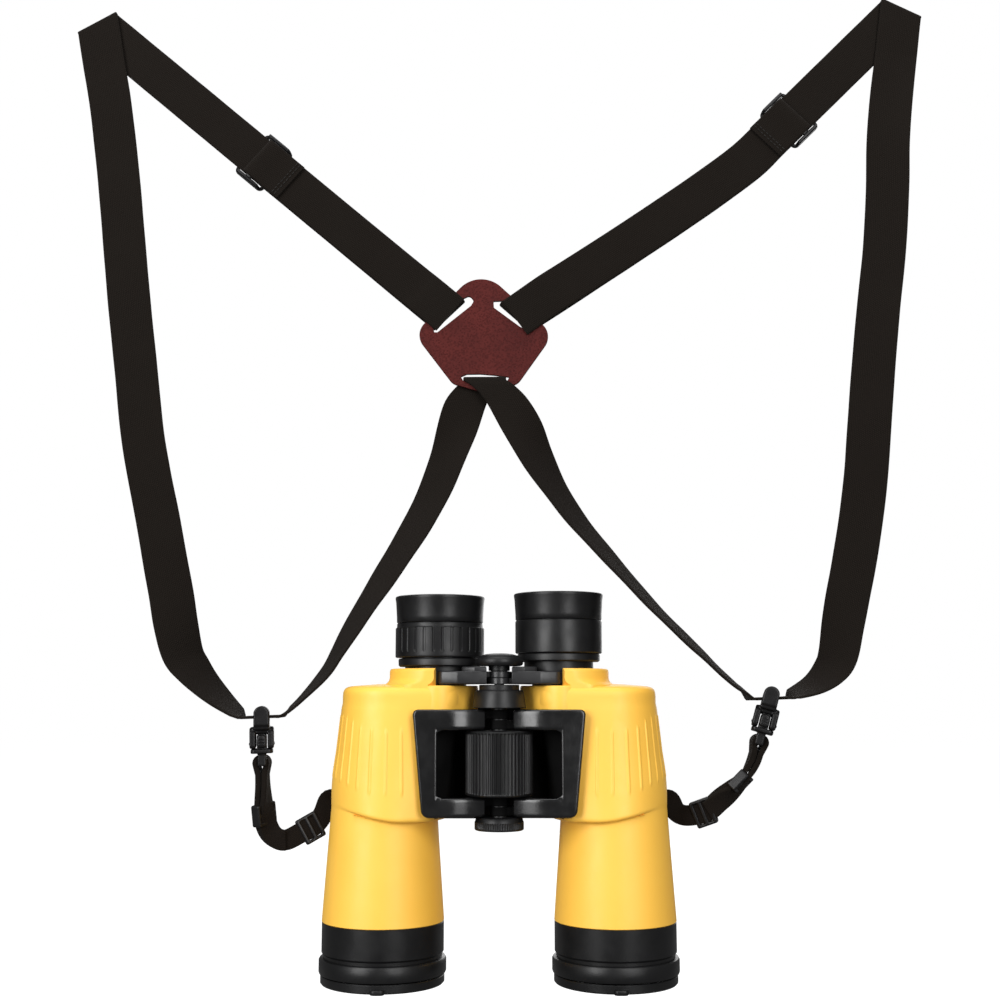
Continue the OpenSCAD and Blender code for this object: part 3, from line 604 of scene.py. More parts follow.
def recess_wall(side):
    """The wall behind the wheel: an arc about the hinge, then straight. Painted near black, it
    stands in for the shade there.
    """
    thick, end_x = 1.3, 33
    r = 20.5 if side < 0 else 22.1
    a = np.radians(np.arange(-8, 29, 6))
    arc = np.stack([np.sin(a), np.cos(a)], 1)
    outline = np.concatenate([(r + thick) * arc, [(end_x, (r + thick) * arc[-1][1])],
                              [(end_x, r * arc[-1][1])], r * arc[::-1]]) + (0, HINGE_Y)
    return slab(outline, -442.3, -385.6, 0.2, 1)


def make_armour_half(side, name):
    t = armour_angles()
    shoulder = shoulder_reach(t)
    wall = recess_wall(side)
    points, faces = joined(armour_skin(t, shoulder), make_turret(t, shoulder),
                           shoulder_beside_hinge(), wall)
    # The side that faces the other half is painted near black between the arms of the frame, and so
    # is the wall behind the wheel: painted shade where they lie in shadow
    middles = np.array([points[list(f)].mean(0) for f in faces])
    dark = ((middles[:, 0] < 32.2) & (middles[:, 2] > FRAME_LOW - 1)
            & (middles[:, 2] < FRAME_HIGH + 0.1))
    dark[-len(wall[1]):] = True
    piece(f"armour_{name}", mirrored((points, faces), side), f"half_{name}",
          (f"prism_housing_{name}", f"barrel_{name}"), armour, 40, (painted_shade,), dark.astype(int))


def make_hinge_frame(side, name):
    front, back, post_x = -31.6, -26, 32.5
    post = rounded([(30.6, FRAME_LOW), (38.4, FRAME_LOW, 5), (43.3, FRAME_HIGH, 2.6),
                    (30.6, FRAME_HIGH)], 6)
    parts = [upright(slab(post, front, back, 1.2, 4))]
    # Each arm bows back from the post to the hinge, drawn from above
    bow = [(x, front + 0.0172 * max(0, 26.5 - x) ** 2) for x in np.linspace(post_x, 7.1, 22)]
    bow += [(7.1, -11), (11, -14.5), (15, -21.5), (20, -25.2), (24, back), (post_x, back)]
    for low, high in ((FRAME_LOW, WINDOW_LOW), (WINDOW_HIGH, FRAME_HIGH)):
        parts.append(slab(bow, low, high, 1.5, 4))
        # The two halves' knuckles share the height of the arm
        tall = (high - low) / 2
        own = low + (tall if side < 0 else 0)
        parts.append(pin(4.5, own + 0.15, own + tall - 0.15, 0.2, 40, (0, HINGE_Y), 0.25))
        parts.append(block((1.5, HINGE_Y - 2.2, own + 0.3), (8.5, HINGE_Y + 3.2, own + 4.6)))
    # Small fillets in the corners of the window
    for z, s in ((WINDOW_LOW, 1), (WINDOW_HIGH, -1)):
        corner = [(32, z - s * 0.5), (32, z + s * 4), (31.5, z + s * 2.2), (30.3, z + s * 0.8),
                  (28.6, z + s * 0.1), (28.6, z - s * 0.5)]
        parts.append(upright(slab(corner, front + 0.3, back - 0.3, 0.15, 1)))
    o = fused(f"hinge_frame_body_{name}", mirrored(joined(*parts), side), f"half_{name}",
              (f"hinge_frame_{name}",), paint, 0.38, 4)
    # Only the front is glossy: the back faces get the near-black matte, painted shade on the same
    # paint
    o.data.materials.append(painted_shade)
    for p in o.data.polygons:
        p.material_index = int(p.center.y > -24.3 * MM)


def on_cover_hinge(solid, shift=0):
    """Lays an upright solid along the hinge of the lens cover."""
    return moved(solid, Matrix.Translation((OBJECTIVE_X + shift, *COVER_HINGE))
                 @ Matrix.Rotation(math.pi / 2, 4, "Y"))


def make_objective_end(side, name):
    c = (OBJECTIVE_X, 0)
    half = f"half_{name}"
    collar = lathe([(26, -509.9), (26, -492.7), (30.6, -492.7), (30.9, -493.0), (30.9, -507.4),
                    (30.5, -508), (30.1, -508.4), (30.1, -509.9)], 160, True, c)
    piece(f"collar_{name}", mirrored(collar, side), half, (f"objective_collar_{name}",), rubber)
    parts = [lathe([(27.5, -518), (27.5, -510), (30.9, -510), (31.7, -510.3), (32.2, -511.2),
                    (32.2, -516.8), (31.9, -517.6), (31.2, -518)], 160, True, c)]
    for s in (-5.7, 5.7):
        parts.append(on_cover_hinge(pin(2.2, -1.3, 1.3), s))
        parts.append(block((OBJECTIVE_X + s - 1.3, 30.2, -517.5),
                           (OBJECTIVE_X + s + 1.3, COVER_HINGE[0], -515.1), 0.3))
    parts.append(on_cover_hinge(lathe([(AXIS_R, -6.6), (1, -6.6), (1, 6.6), (AXIS_R, 6.6)], 16)))
    piece(f"cover_ring_body_{name}", mirrored(joined(*parts), side), half,
          (f"cover_ring_{name}",), rubber)
    dish = lathe([(AXIS_R, -522.2), (20, -522.4), (28.5, -523), (30.7, -522.8), (31.3, -522.1),
                  (31.3, -518.9), (31, -518.45), (30.2, -518.4), (29.3, -518.9), (29.3, -520.6),
                  (AXIS_R, -520.8)], 160, False, c)
    tab = slab(rounded([(OBJECTIVE_X - 3.6, -29), (OBJECTIVE_X - 3.6, -33.6, 2.4),
                        (OBJECTIVE_X + 3.6, -33.6, 2.4), (OBJECTIVE_X + 3.6, -29)], 6),
               -522.9, -520.4, 0.6)
    strap = block((OBJECTIVE_X - 3.9, 28, -522.6), (OBJECTIVE_X + 3.9, 36, -519.3), 0.7)
    cover = joined(dish, tab, on_cover_hinge(pin(2.2, -3.9, 3.9)), strap)
    piece(f"cover_dish_{name}", mirrored(cover, side), f"cover_{name}", (f"lens_cover_{name}",),
          rubber)
    front_lens = lens(24.6, -486.4, 1.8, -491.6, 0.9, 96, 8, c)
    piece(f"front_lens_{name}", mirrored(front_lens, side), half, (f"objective_lens_{name}",),
          glass)


def paint_node(name, material, bevel=0.0):
    """Gives a CAD node that stays in view its material and softened edges."""
    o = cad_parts[name]
    o.data.materials.clear()
    o.data.materials.append(material)
    if bevel:
        b = o.modifiers.new("edges", "BEVEL")
        b.width, b.segments, b.limit_method = bevel * MM, 2, "ANGLE"
        b.angle_limit = math.radians(35)


# ---- Centre hinge, focus and eyepieces ----

def make_centre():
    c = (0, HINGE_Y)
    shaft = lathe([(AXIS_R, -441), (4, -441), (4, -386), (13.1, -386), (13.5, -385.6),
                   (13.4, -385), (12.5, -378), (12.1, -377.3), (11.2, -377), (10.4, -377),
                   (10.2, -376.7), (10.2, -374.7), (9.9, -374.3), (AXIS_R, -374.3)], 96, False, c)
    piece("hinge_shaft_body", shaft, "carrier", ("hinge_shaft",), satin)

    notches, cap_r, notch = 60, 12.35, 0.22

    def notched(r, z, t):
        on_side = (z > -445.2) & (z < -442.5) & (r > 12)
        return r + notch * (np.cos(notches * t) - 1) * on_side

    cap = lathe([(AXIS_R, -441.5), (3.2, -441.5), (3.2, -446.3), (11.7, -446.3), (12.2, -446),
                 (cap_r, -445.5), (cap_r, -445.1), (cap_r, -442.6), (12.3, -442.2),
                 (12.1, -441.8), (11.7, -440.4), (11.2, -439.9), (AXIS_R, -439.9)],
                notches * 8, False, c, notched)
    piece("tripod_socket_body", cap, "carrier", ("tripod_socket",), satin)

    flutes, wheel_r, bore, depth = 54, 17.1, 4.06, 0.28

    def fluted(r, z, t):
        cut = 1 - np.clip(-np.cos(flutes * t) * 1.4 + 0.1, -1, 1)
        on_side = ease(z, -428.3, -427.7) * (1 - ease(z, -398.9, -398.3)) * (r > 15)
        return r - depth * cut * on_side

    rows = [(wheel_r, z) for z in (-428.5, -428.1, -427.8, -427.4, -420, -413, -406, -399.2,
                                   -398.8, -398.5, -398.1)]
    wheel = lathe([(bore, -429.4), (15.9, -429.4), (16.7, -429.1)] + rows
                  + [(16.7, -397.5), (15.9, -397.2), (bore, -397.2)], flutes * 10, True, c, fluted)
    piece("focus_wheel_body", wheel, "focus_wheel", ("focus_wheel",), rubber, 28)

    hub = lathe([(AXIS_R, -386), (2.5, -386), (2.5, -374), (4.2, -374), (4.2, -367.4), (5.4, -367.2),
                 (5.4, -364.9), (10.6, -364.9), (11.6, -364.5), (12.1, -363.8), (12.2, -362.4),
                 (12, -361.5), (11.2, -360.6), (9.4, -359.6), (6.6, -358.8), (3.5, -358.45),
                 (AXIS_R, -358.4)], 96, False, c)
    piece("bridge_cap", hub, "bridge", ("bridge_hub",), satin)


def make_arm(side, name):
    # The two arms' knuckles share the height of an arm
    low, high = (ARM_LOW + 3.3, ARM_HIGH) if side < 0 else (ARM_LOW, ARM_HIGH - 3.3)
    outline = rounded([(6.3, -25.6, 0.4), (21, -25.3, 4), (30.5, -22.6, 3), (31.3, -15), (31, 14),
                       (12, 4), (4.6, -9), (4.2, -12.3), (6.3, -12.9)], 5)
    plate = slab(outline, ARM_LOW, ARM_HIGH, 0.8)
    ring = lathe([(14.05, ARM_LOW), (18.4, ARM_LOW), (18.9, ARM_LOW + 0.6), (18.9, ARM_HIGH - 0.6),
                  (18.4, ARM_HIGH), (14.05, ARM_HIGH)], 96, True, (EYE_X, 0))
    knuckle = pin(5.5, low, high, 0.3, 48, (0, HINGE_Y))
    web = block((2, HINGE_Y - 2.4, low + 0.1), (8, HINGE_Y + 3, high - 0.1), 0.4)
    # The root rises to the cap over the hinge
    root = slab(rounded([(6.4, -25.2, 0.4), (12.5, -25.1, 0.6), (19, -22, 2), (19, -11, 1),
                         (6.4, -11, 0.4)], 3), ARM_HIGH - 1, -365.2, 0.7)
    piece(f"arm_body_{name}", mirrored(joined(plate, ring, knuckle, web, root), side),
          f"arm_{name}", (f"bridge_arm_{name}",), arm_paint)


def make_eyepiece(side, name, heights, lens_r):
    c = (EYE_X, 0)
    arm = f"arm_{name}"
    flange, ring, cup, top = heights
    body = lathe([(11.7, -382), (13.9, -382), (13.9, -367.6), (17.7, -367.6), (18, -367.3),
                  (18, flange), (20.6, flange), (21.4, flange + 0.7),
                  (21.5, ring - 1.2), (21.1, ring - 0.5), (19.3, ring - 0.3), (19.3, top - 8),
                  (16.8, top - 8), (lens_r, top - 9.2), (lens_r, top - 14.6), (11.7, top - 15)],
                 128, True, c)
    piece(f"eyepiece_body_{name}", mirrored(body, side), arm, (f"eyepiece_{name}",), satin)
    rise = top - cup
    hood = lathe([(19.6, cup), (22.2, cup), (22.5, cup + 0.4), (22.55, cup + 3),
                  (22.75, cup + 0.45 * rise), (23.0, cup + 0.75 * rise), (23.3, top - 1.5),
                  (23.35, top - 0.9), (23.1, top - 0.3), (22.4, top), (21, top), (19.3, top - 0.5),
                  (17.2, top - 1.6), (15.9, top - 3), (15.5, top - 4.2), (15.5, top - 6.6),
                  (15.9, top - 7), (19.6, top - 7)], 128, True, c)
    piece(f"cup_body_{name}", mirrored(hood, side), f"cup_{name}", (f"eyecup_{name}",), rubber, 40)
    eye_lens = lens(lens_r - 0.15, top - 10.6, 1.1, top - 12.6, 0.9, 64, 7, c)
    piece(f"eye_glass_{name}", mirrored(eye_lens, side), "ocular_left" if side < 0 else arm,
          (f"eye_lens_{name}",), glass)


def make_dioptre_and_sleeve():
    low, high, bore, ring_r = -360.3, -342.6, 19.35, 23.1
    panels, pitch, groove_end, depth = 30, 4.84, -356.8, 0.6

    def panelled(r, z, t):
        """Grooves between the panels, each with a round lower end."""
        across = ((t * panels / (2 * math.pi) + 0.5) % 1 - 0.5) * pitch
        groove = 1 - ease(np.hypot(across, np.maximum(0, groove_end - z)), 0.45, 0.75)
        return r - depth * groove * (1 - ease(z, -345.4, -345.1)) * (r > 22.8)

    heights = [-359.6, -359, -358.3, -357.9, -357.6, -357.3, -357, -356.7, -356.4, -355.8, -353,
               -350, -347, -345.6, -345.4, -345.2]
    profile = [(bore, low), (22.5, low), (23.0, low + 0.3)] + [(ring_r, z) for z in heights]
    profile += [(22.6, -344.9), (22.4, -344.5), (22.4, high - 0.3), (22.1, high), (bore, high)]
    ring = lathe(profile, panels * 22, True, (EYE_X, 0), panelled)
    piece("dioptre_ring_body", mirrored(ring, -1), "dioptre_ring", ("dioptre_ring",), rubber, 28)
    sleeve = lathe([(bore, -358.1), (22, -358.1), (22.6, -357.6), (22.6, -341.8), (22.2, -341.1),
                    (bore, -341.1)], 128, True, (EYE_X, 0))
    piece("sleeve_body", sleeve, "arm_right", ("eyepiece_sleeve",), rubber)


# ---- Webbing ----

# Along the line that the binocular swings about, from the left buckle to the right
SWING = np.array([264.1, 0, 9.5]) / math.hypot(264.1, 9.5)
# Where the webbing runs through each buckle, and how the buckle leans and is
# turned about its own length, in degrees
BIGHTS = {"left": np.array([-123.2, 0, -390.7]), "right": np.array([140.9, 0, -381.2])}
LEANS = {"left": -2, "right": 16}
TWISTS = {"left": 9, "right": -10}
BIGHT_HALF = 9
PLUG_BAR_Z = -23.4
# The fold over each shoulder: its middle, the direction of its line, that of the
# back strap below it, and how far down the strap the slider is
FOLDS = {"left": (np.array([-223.5, 0, -9.6]), 30, -40.3, 123),
         "right": (np.array([224, 0, -1]), -26.5, -135, 90)}
# The middle and the direction of each turn through an upper slot of the patch
TURNS = {"left": (np.array([-28.5, 0, -174.8]), -46), "right": (np.array([10.3, 0, -176.3]), -132)}
LOWER_SLOT = np.array([-7.8, 0, -210.4])
# Two places on each webbing: the first on the side of the harness, the second on the side of the
# buckle
SHOULDER_BENDS = {"left": ((-160, 0, -366), (-136, 0, -388.5)),
                  "right": ((165, 0, -358), (165, 0, -379))}
CHEST_BENDS = {"left": ((-85, 0, -358), (-109, 0, -387)),
               "right": ((98, -2, -351), (127, 0, -377))}

# Points of each route: x, y, z and the roll about its own length in degrees,
# where 0 is face on and 90 is edge on
SHOULDER_ROUTES = {
    "left": [
        (-136, 0, -388.5, -80), (-144, 0, -382, -70), (-152.5, -0.5, -374, -58),
        (-159.5, -1, -366, -46), (-165, -1, -358, -36), (-169, -1.1, -343, -22),
        (-172, -1.1, -327, -12), (-175.5, -1.1, -311, -6), (-180.5, -1.1, -287, -3),
        (-186, -1.1, -263, 0), (-190.5, -1.1, -240, 0), (-195, -1.1, -206, 0),
        (-199.5, -1.1, -173, 0), (-203.5, -1.1, -140, 0), (-207.5, -1.1, -106, 0),
        (-211, -1.1, -80, 0), (-215, -1.1, -54, 0), (-219, -1.1, -34, 0)],
    "right": [
        (153, 0, -379, 80), (164, 0, -374, 66), (172, -0.5, -367, 52),
        (176.5, -1, -359, 42), (179.5, -1.5, -343, 32), (182.5, -2, -328, 26),
        (186, -2.5, -312, 24), (190.5, -3, -288, 24), (194, -3.5, -264, 24),
        (196.5, -4, -239, 24), (200, -4, -206, 24), (204, -4, -173, 24),
        (208.5, -4, -140, 24), (211.5, -4, -106, 22), (213, -3.5, -80, 18),
        (216, -2.5, -54, 10), (220.3, -1.1, -27, 0)]}
CHEST_ROUTES = {
    "left": [
        (-109, 0, -387, 82), (-103.5, 0, -382, 79), (-96, 1, -374, 75),
        (-89.5, 1.5, -366, 71), (-85, 2, -358, 67), (-80.5, 2, -350, 63),
        (-71.5, 2, -335, 58), (-62, 2, -320, 53), (-52, 2, -304, 48),
        (-42.5, 2, -288, 43), (-34.5, 2, -272, 38), (-28.3, 2, -256, 33),
        (-23, 2.1, -240, 22), (-17.5, 2.1, -223, 8), (-10, 2.1, -213.5, 0)],
    "right": [
        (127, 0, -377, -82), (122.5, -0.5, -374, -80), (114.5, -1, -367, -78),
        (106.5, -1.5, -359, -76), (98, -2, -351, -75), (82, -2, -335, -73),
        (68.5, -2, -320, -69), (54.5, -2, -304, -65), (41, -2, -288, -60),
        (30, -2, -272, -52), (20.8, -2.6, -256, -38), (12.6, -3.2, -239, -20),
        (3.6, -2.9, -223, -3), (-4, -2.6, -215, 0)]}
BACK_ROUTE_RIGHT = [
    (136, 0.9, -89, 180), (113, 0.9, -106.5, 180), (89.5, 0.9, -123, 180),
    (64.5, 0.9, -140, 180), (39, 1.6, -157, 180), (26.5, 2.1, -165.3, 180)]
CONNECTOR_ROUTES = {
    "left": [
        (-122.3, 0, -416, 90), (-121.8, 0, -425, 88), (-121.3, 0.5, -434, 75),
        (-120.5, 1.5, -443, 50), (-117, 2.5, -450.5, 20), (-110.5, 4, -453.5, 0),
        (-102.5, 6.5, -450, 0), (-96, 9, -446.5, 0), (-92, 11.3, -441, 0),
        (-89.5, 13.8, -434.2, 0), (-86.4, 17.2, -434.2, 0), (-81.8, 22.3, -434.2, 0)],
    "right": [
        (133.9, 0, -405.5, 90), (131, 0, -414, 88), (126.5, 0.5, -421.5, 75),
        (120, 1.5, -428, 45), (113.5, 2.5, -433.5, 15), (108, 4, -438.5, 0),
        (101, 6.8, -441, 0), (95.5, 9.3, -441.3, 0), (91.8, 11.5, -439, 0),
        (89.5, 13.8, -434.2, 0), (86.4, 17.2, -434.2, 0), (81.8, 22.3, -434.2, 0)]}


def heading(angle):
    a = math.radians(angle)
    return np.array([math.cos(a), 0, math.sin(a)])


def unit(v):
    return v / np.linalg.norm(v)


def smooth_route(route, steps):
    """A curve through every point of a route."""
    p = np.array(route, float)
    out = []
    for i in range(len(p) - 1):
        a, b, c, d = p[max(i - 1, 0)], p[i], p[i + 1], p[min(i + 2, len(p) - 1)]
        for k in range(steps):
            u = k / steps
            out.append(0.5 * (2 * b + (c - a) * u + (2 * a - 5 * b + 4 * c - d) * u * u
                              + (3 * b - a - 3 * c + d) * u ** 3))
    return np.array(out + [p[-1]])


def stations(route, width, steps=6):
    """Points along a route, each with half of the line across the webbing."""
    path = smooth_route(route, steps)
    out = []
    for i, p in enumerate(path):
        ahead, behind = path[min(i + 1, len(path) - 1), :3], path[max(i - 1, 0), :3]
        d = unit(ahead - behind)
        side = unit(np.cross(d, (0, 1, 0)))
        back = np.cross(side, d)
        a = math.radians(p[3])
        out.append((p[:3], width / 2 * (math.cos(a) * side + math.sin(a) * back)))
    return out


def half_turn(middle, out, line, y, half):
    """Webbing that turns back on itself, from one side of the middle plane to the other."""
    return [(middle + abs(y) * math.sin(a) * out + np.array([0, y * math.cos(a), 0]), line * half)
            for a in np.radians(np.arange(0, 181, 15))]


def square_start(bight, side, roll):
    """The first stations out of a buckle, square to the line that it swings about."""
    across = STRAP_W / 2 * np.array([0, math.copysign(1, roll), 0])
    return [(bight + side * (BIGHT_HALF + k) * SWING, across) for k in (0, 1.5)]


def spaced(path, step=2.0):
    """The same webbing with stations at even distances."""
    c = np.array([p for p, _ in path])
    h = np.array([w for _, w in path])
    s = np.concatenate([[0], np.cumsum(np.linalg.norm(np.diff(c, axis=0), axis=1))])
    n = max(4, int(s[-1] / step))
    at = np.unique(np.concatenate([np.linspace(0, s[-1], n), s]))
    at = at[np.concatenate([[True], np.diff(at) > 0.12])]
    at[-1] = s[-1]
    return [(np.array([np.interp(x, s, c[:, k]) for k in range(3)]),
             np.array([np.interp(x, s, h[:, k]) for k in range(3)])) for x in at]


# Across the webbing: how far out, and how much of the thickness is left there
PROFILE = [(-1, 0.25), (-0.985, 0.7), (-0.955, 0.95), (-0.9, 1), (-0.5, 0.97), (0, 0.96),
           (0.5, 0.97), (0.9, 1), (0.955, 0.95), (0.985, 0.7), (1, 0.25)]


def ribbon(path, thickness, ripple):
    """Webbing through stations, with the place of each point on the cloth."""
    path = spaced(path)
    c = np.array([p for p, _ in path])
    h = np.array([w for _, w in path])
    t = np.gradient(c, axis=0)
    t /= np.linalg.norm(t, axis=1)[:, None]
    n = np.cross(t, h)
    n /= np.linalg.norm(n, axis=1)[:, None]
    s = np.concatenate([[0], np.cumsum(np.linalg.norm(np.diff(c, axis=0), axis=1))])
    along = (h * t).sum(1)
    across = np.linalg.norm(h - along[:, None] * t, axis=1)
    columns, cloth = [], []
    wave = ripple * (np.sin(s * 0.21 + 1.3) + 0.6 * np.sin(s * 0.083))
    for face in (-1, 1):
        for u, thick in (PROFILE if face < 0 else PROFILE[::-1]):
            lift = face * thickness / 2 * thick + wave * u ** 3
            columns.append(c + u * h + lift[:, None] * n)
            cloth.append(np.stack([s + u * along, u * across, np.full(len(s), face)], -1))
    solid = loft(np.stack(columns, 1))
    return solid, np.stack(cloth, 1).reshape(-1, 3) * MM, s[-1]


def weave(o, cloth):
    a = o.data.attributes.new("cloth", "FLOAT_VECTOR", "POINT")
    a.data.foreach_set("vector", cloth.astype(np.float32).ravel())


def band(name, path, thickness, ride, nodes, material=webbing,
         blend=None, ripple=0.0):
    """One length of webbing: made, hung on its body, or on no body where it runs between two, and
    given its place on the cloth.
    """
    solid, cloth, length = ribbon(path, thickness, ripple)
    o = piece(name, solid, None if blend else ride, nodes, material, 50)
    weave(o, cloth)
    if blend:
        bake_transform(o)


def back_strap(name):
    """The top of a back strap, its direction and the place of its slider."""
    fold, _, back_dir, slider_at = FOLDS[name]
    down = heading(back_dir)
    return fold, down, fold + slider_at * down


def shoulder_path(side, name):
    """From the buckle up the front, over the shoulder and down to the patch."""
    fold, line, back_dir, _ = FOLDS[name]
    turn, turn_dir = TURNS[name]
    down = heading(back_dir)
    half = STRAP_W / 2 / abs(math.sin(math.radians(back_dir - line)))
    over = half_turn(fold, heading(line + 90), -heading(line), -FOLD_Y, half)
    if side < 0:
        reach = np.linalg.norm(turn - fold)
        straight = [fold + d * down for d in (26, reach / 2, reach - 40)]
        back = [(*(p + (0, LAYER_Y, 0)), 180) for p in straight]
        back.append((*(turn - 14 * down + (0, PATCH_LAYER_Y, 0)), 180))
    else:
        back = [(*(fold + d * down + (0, LAYER_Y, 0)), 180) for d in (26, 65, 105)]
        back += BACK_ROUTE_RIGHT
    through = half_turn(turn, heading(turn_dir), -heading(turn_dir + 90), PATCH_LAYER_Y,
                        STRAP_W / 2)
    route = SHOULDER_ROUTES[name]
    return (square_start(BIGHTS[name], side, route[0][3]) + stations(route, STRAP_W) + over
            + stations(back, STRAP_W) + through)


def chest_path(side, name):
    """From the buckle up to the lower slot of the patch."""
    route = CHEST_ROUTES[name]
    y = -side * PATCH_LAYER_Y
    tip = [(LOWER_SLOT + (0, y * math.cos(a), PATCH_LAYER_Y * (math.sin(a) - 1) - 0.6),
            STRAP_W / 2 * np.array([-side, 0, 0])) for a in np.radians(range(15, 91, 15))]
    path = (square_start(BIGHTS[name], -side, route[0][3]) + stations(route, STRAP_W) + tip)
    # Near the slot the webbing's cross lines turn level with it
    levelled = []
    for p, w in path:
        level = STRAP_W / 2 * np.array([np.sign(w[0]), 0, 0])
        levelled.append((p, w + (level - w) * float(ease(p[2], -252, -220))))
    return levelled


def front_layer_path(side, name):
    """From the patch up to the bar of the slider."""
    turn, turn_dir = TURNS[name]
    _, down, slider = back_strap(name)
    if side < 0:
        low = [(*(turn + d * down + (0, y, 0)), 0)
               for d, y in ((2.7, -PATCH_LAYER_Y), (-14, -PATCH_LAYER_Y), (-28, -LAYER_Y))]
        low += [(*(slider + d * down + (0, -LAYER_Y, 0)), 0) for d in (60, 30)]
    else:
        start = turn + 2.7 * heading(turn_dir)
        low = [(start[0], -PATCH_LAYER_Y, start[2], 0)]
        low += [(x, -y, z, 0) for x, y, z, _ in BACK_ROUTE_RIGHT[::-1]]
    low += [(*(slider + d * down + (0, y, 0)), 0)
            for d, y in ((12, -LAYER_Y), (5, -LAYER_Y - 0.1), (2.6, -LAYER_Y - 0.6))]
    return stations(low, STRAP_W, 4)


def tab_path(name):
    """The front layer's end, turned over the slider's bar and sewn down."""
    _, down, slider = back_strap(name)
    tab = [(*(slider + d * down + (0, y, 0)), 0)
           for d, y in ((20.5, -LAYER_Y - 1.5), (16, -LAYER_Y - 1.5), (11, -LAYER_Y - 1.55),
                        (7, -LAYER_Y - 1.8), (4, -3.0), (0, -3.15), (-2.4, -2.9), (-3.7, -2.0),
                        (-4.2, -0.8))]
    return stations(tab, STRAP_W, 4)


def make_webbings(side, name):
    band(f"shoulder_webbing_{name}", shoulder_path(side, name), STRAP_T, "harness",
         (f"shoulder_strap_{name}",),
         blend=("harness", "carrier", *SHOULDER_BENDS[name]), ripple=0.12)
    band(f"chest_webbing_{name}", chest_path(side, name), STRAP_T, "harness",
         (f"chest_strap_{name}",),
         blend=("harness", "carrier", *CHEST_BENDS[name]), ripple=0.12)
    # The piece that turns with the buckle
    bight = [(BIGHTS[name] + d * SWING, STRAP_W / 2 * np.array([0, 1, 0]))
             for d in np.linspace(-BIGHT_HALF, BIGHT_HALF, 7)]
    band(f"bight_webbing_{name}", bight, STRAP_T, "carrier", (f"strap_bight_{name}",))

    _, down, slider = back_strap(name)
    near, far = slider + 12 * down, TURNS[name][0] - 20 * down
    band(f"front_layer_{name}", front_layer_path(side, name), STRAP_T, "harness",
         (f"stitched_loop_{name}",),
         blend=("harness", f"slider_{name}", far, near))
    band(f"tab_{name}", tab_path(name), STRAP_T, f"slider_{name}", ())

    place = Matrix.Translation(Vector(slider)) @ Matrix.Rotation(
        -math.radians(FOLDS[name][2]), 4, "Y")
    stitches = [moved(block((d - 0.26, -3.5, w), (d + 0.26, -2.85, w + 1.75), 0.25), place)
                for d in (16.4, 18.2) for w in np.arange(-10.6, 9.5, 2.42)]
    piece(f"stitches_{name}", joined(*stitches), f"slider_{name}", (), thread)
    make_slider(name, place)


def make_slider(name, place):
    """A tri-glide with full-depth rails, and end bars that lie behind the webbing."""
    half_x, half_w, corner_r, rim, edge = 9.8, 14.1, 4.6, 2, 0.55
    corners = [(a * half_x, b * half_w, corner_r) for a, b in QUARTERS]
    outline = []
    for p, q in zip(corners, corners[1:] + corners[:1]):
        outline += [p] + [(p[0] + (q[0] - p[0]) * k, p[1] + (q[1] - p[1]) * k, 0)
                          for k in (0.3, 0.42, 0.58, 0.7)]
    line = rounded(outline, 8)
    rear = 3.7
    front = -2.0 + 3.9 * ease(np.abs([x for x, _ in line]), 6.6, 8.3)
    rings = []
    # The section of the rim: how far in, and its depth from the front or the rear
    for grow, near, depth in ((0, 1, edge), (0, 0.5, 0), (0, 0, -edge), (edge, 0, 0),
                              (rim - edge, 0, 0), (rim, 0, -edge), (rim, 0.5, 0), (rim, 1, edge),
                              (rim - edge, 1, 0), (edge, 1, 0)):
        q = inset(line, grow)
        rings.append(np.stack([q.real, near * front + (1 - near) * rear + depth, q.imag], -1))
    bar = block((-2, -1.9, -12.3), (2, -0.1, 12.3), 0.6)
    piece(f"slider_body_{name}", moved(joined(loft(rings, True), bar), place), f"slider_{name}",
          (f"slider_{name}",), plastic)


# Outlines of the upper left, upper right and lower slots, in x and z
PATCH_SLOTS = (
    [(-35.2, -185.9, 0.5), (-33.4, -186, 0.6), (-15.3, -171.2, 1.5), (-13.6, -168.4, 1.8),
     (-16, -165.5, 2), (-19.4, -167.2, 1.2), (-21, -170.2, 1), (-35.4, -183.6, 0.5)],
    [(-3.1, -168.7, 0.5), (2.2, -168.5, 0.5), (17, -182.2, 0.8), (15.4, -184.8, 0.8),
     (11.2, -182.9, 0.8), (-2.9, -172.3, 0.8)],
    [(-20.6, -210.5, 0.4), (-17.4, -209.1, 2), (-10, -209, 6), (-2.7, -209.6, 6),
     (5.4, -210.7, 0.4), (4.4, -212.6, 0.4), (-19.4, -212.6, 0.5)])


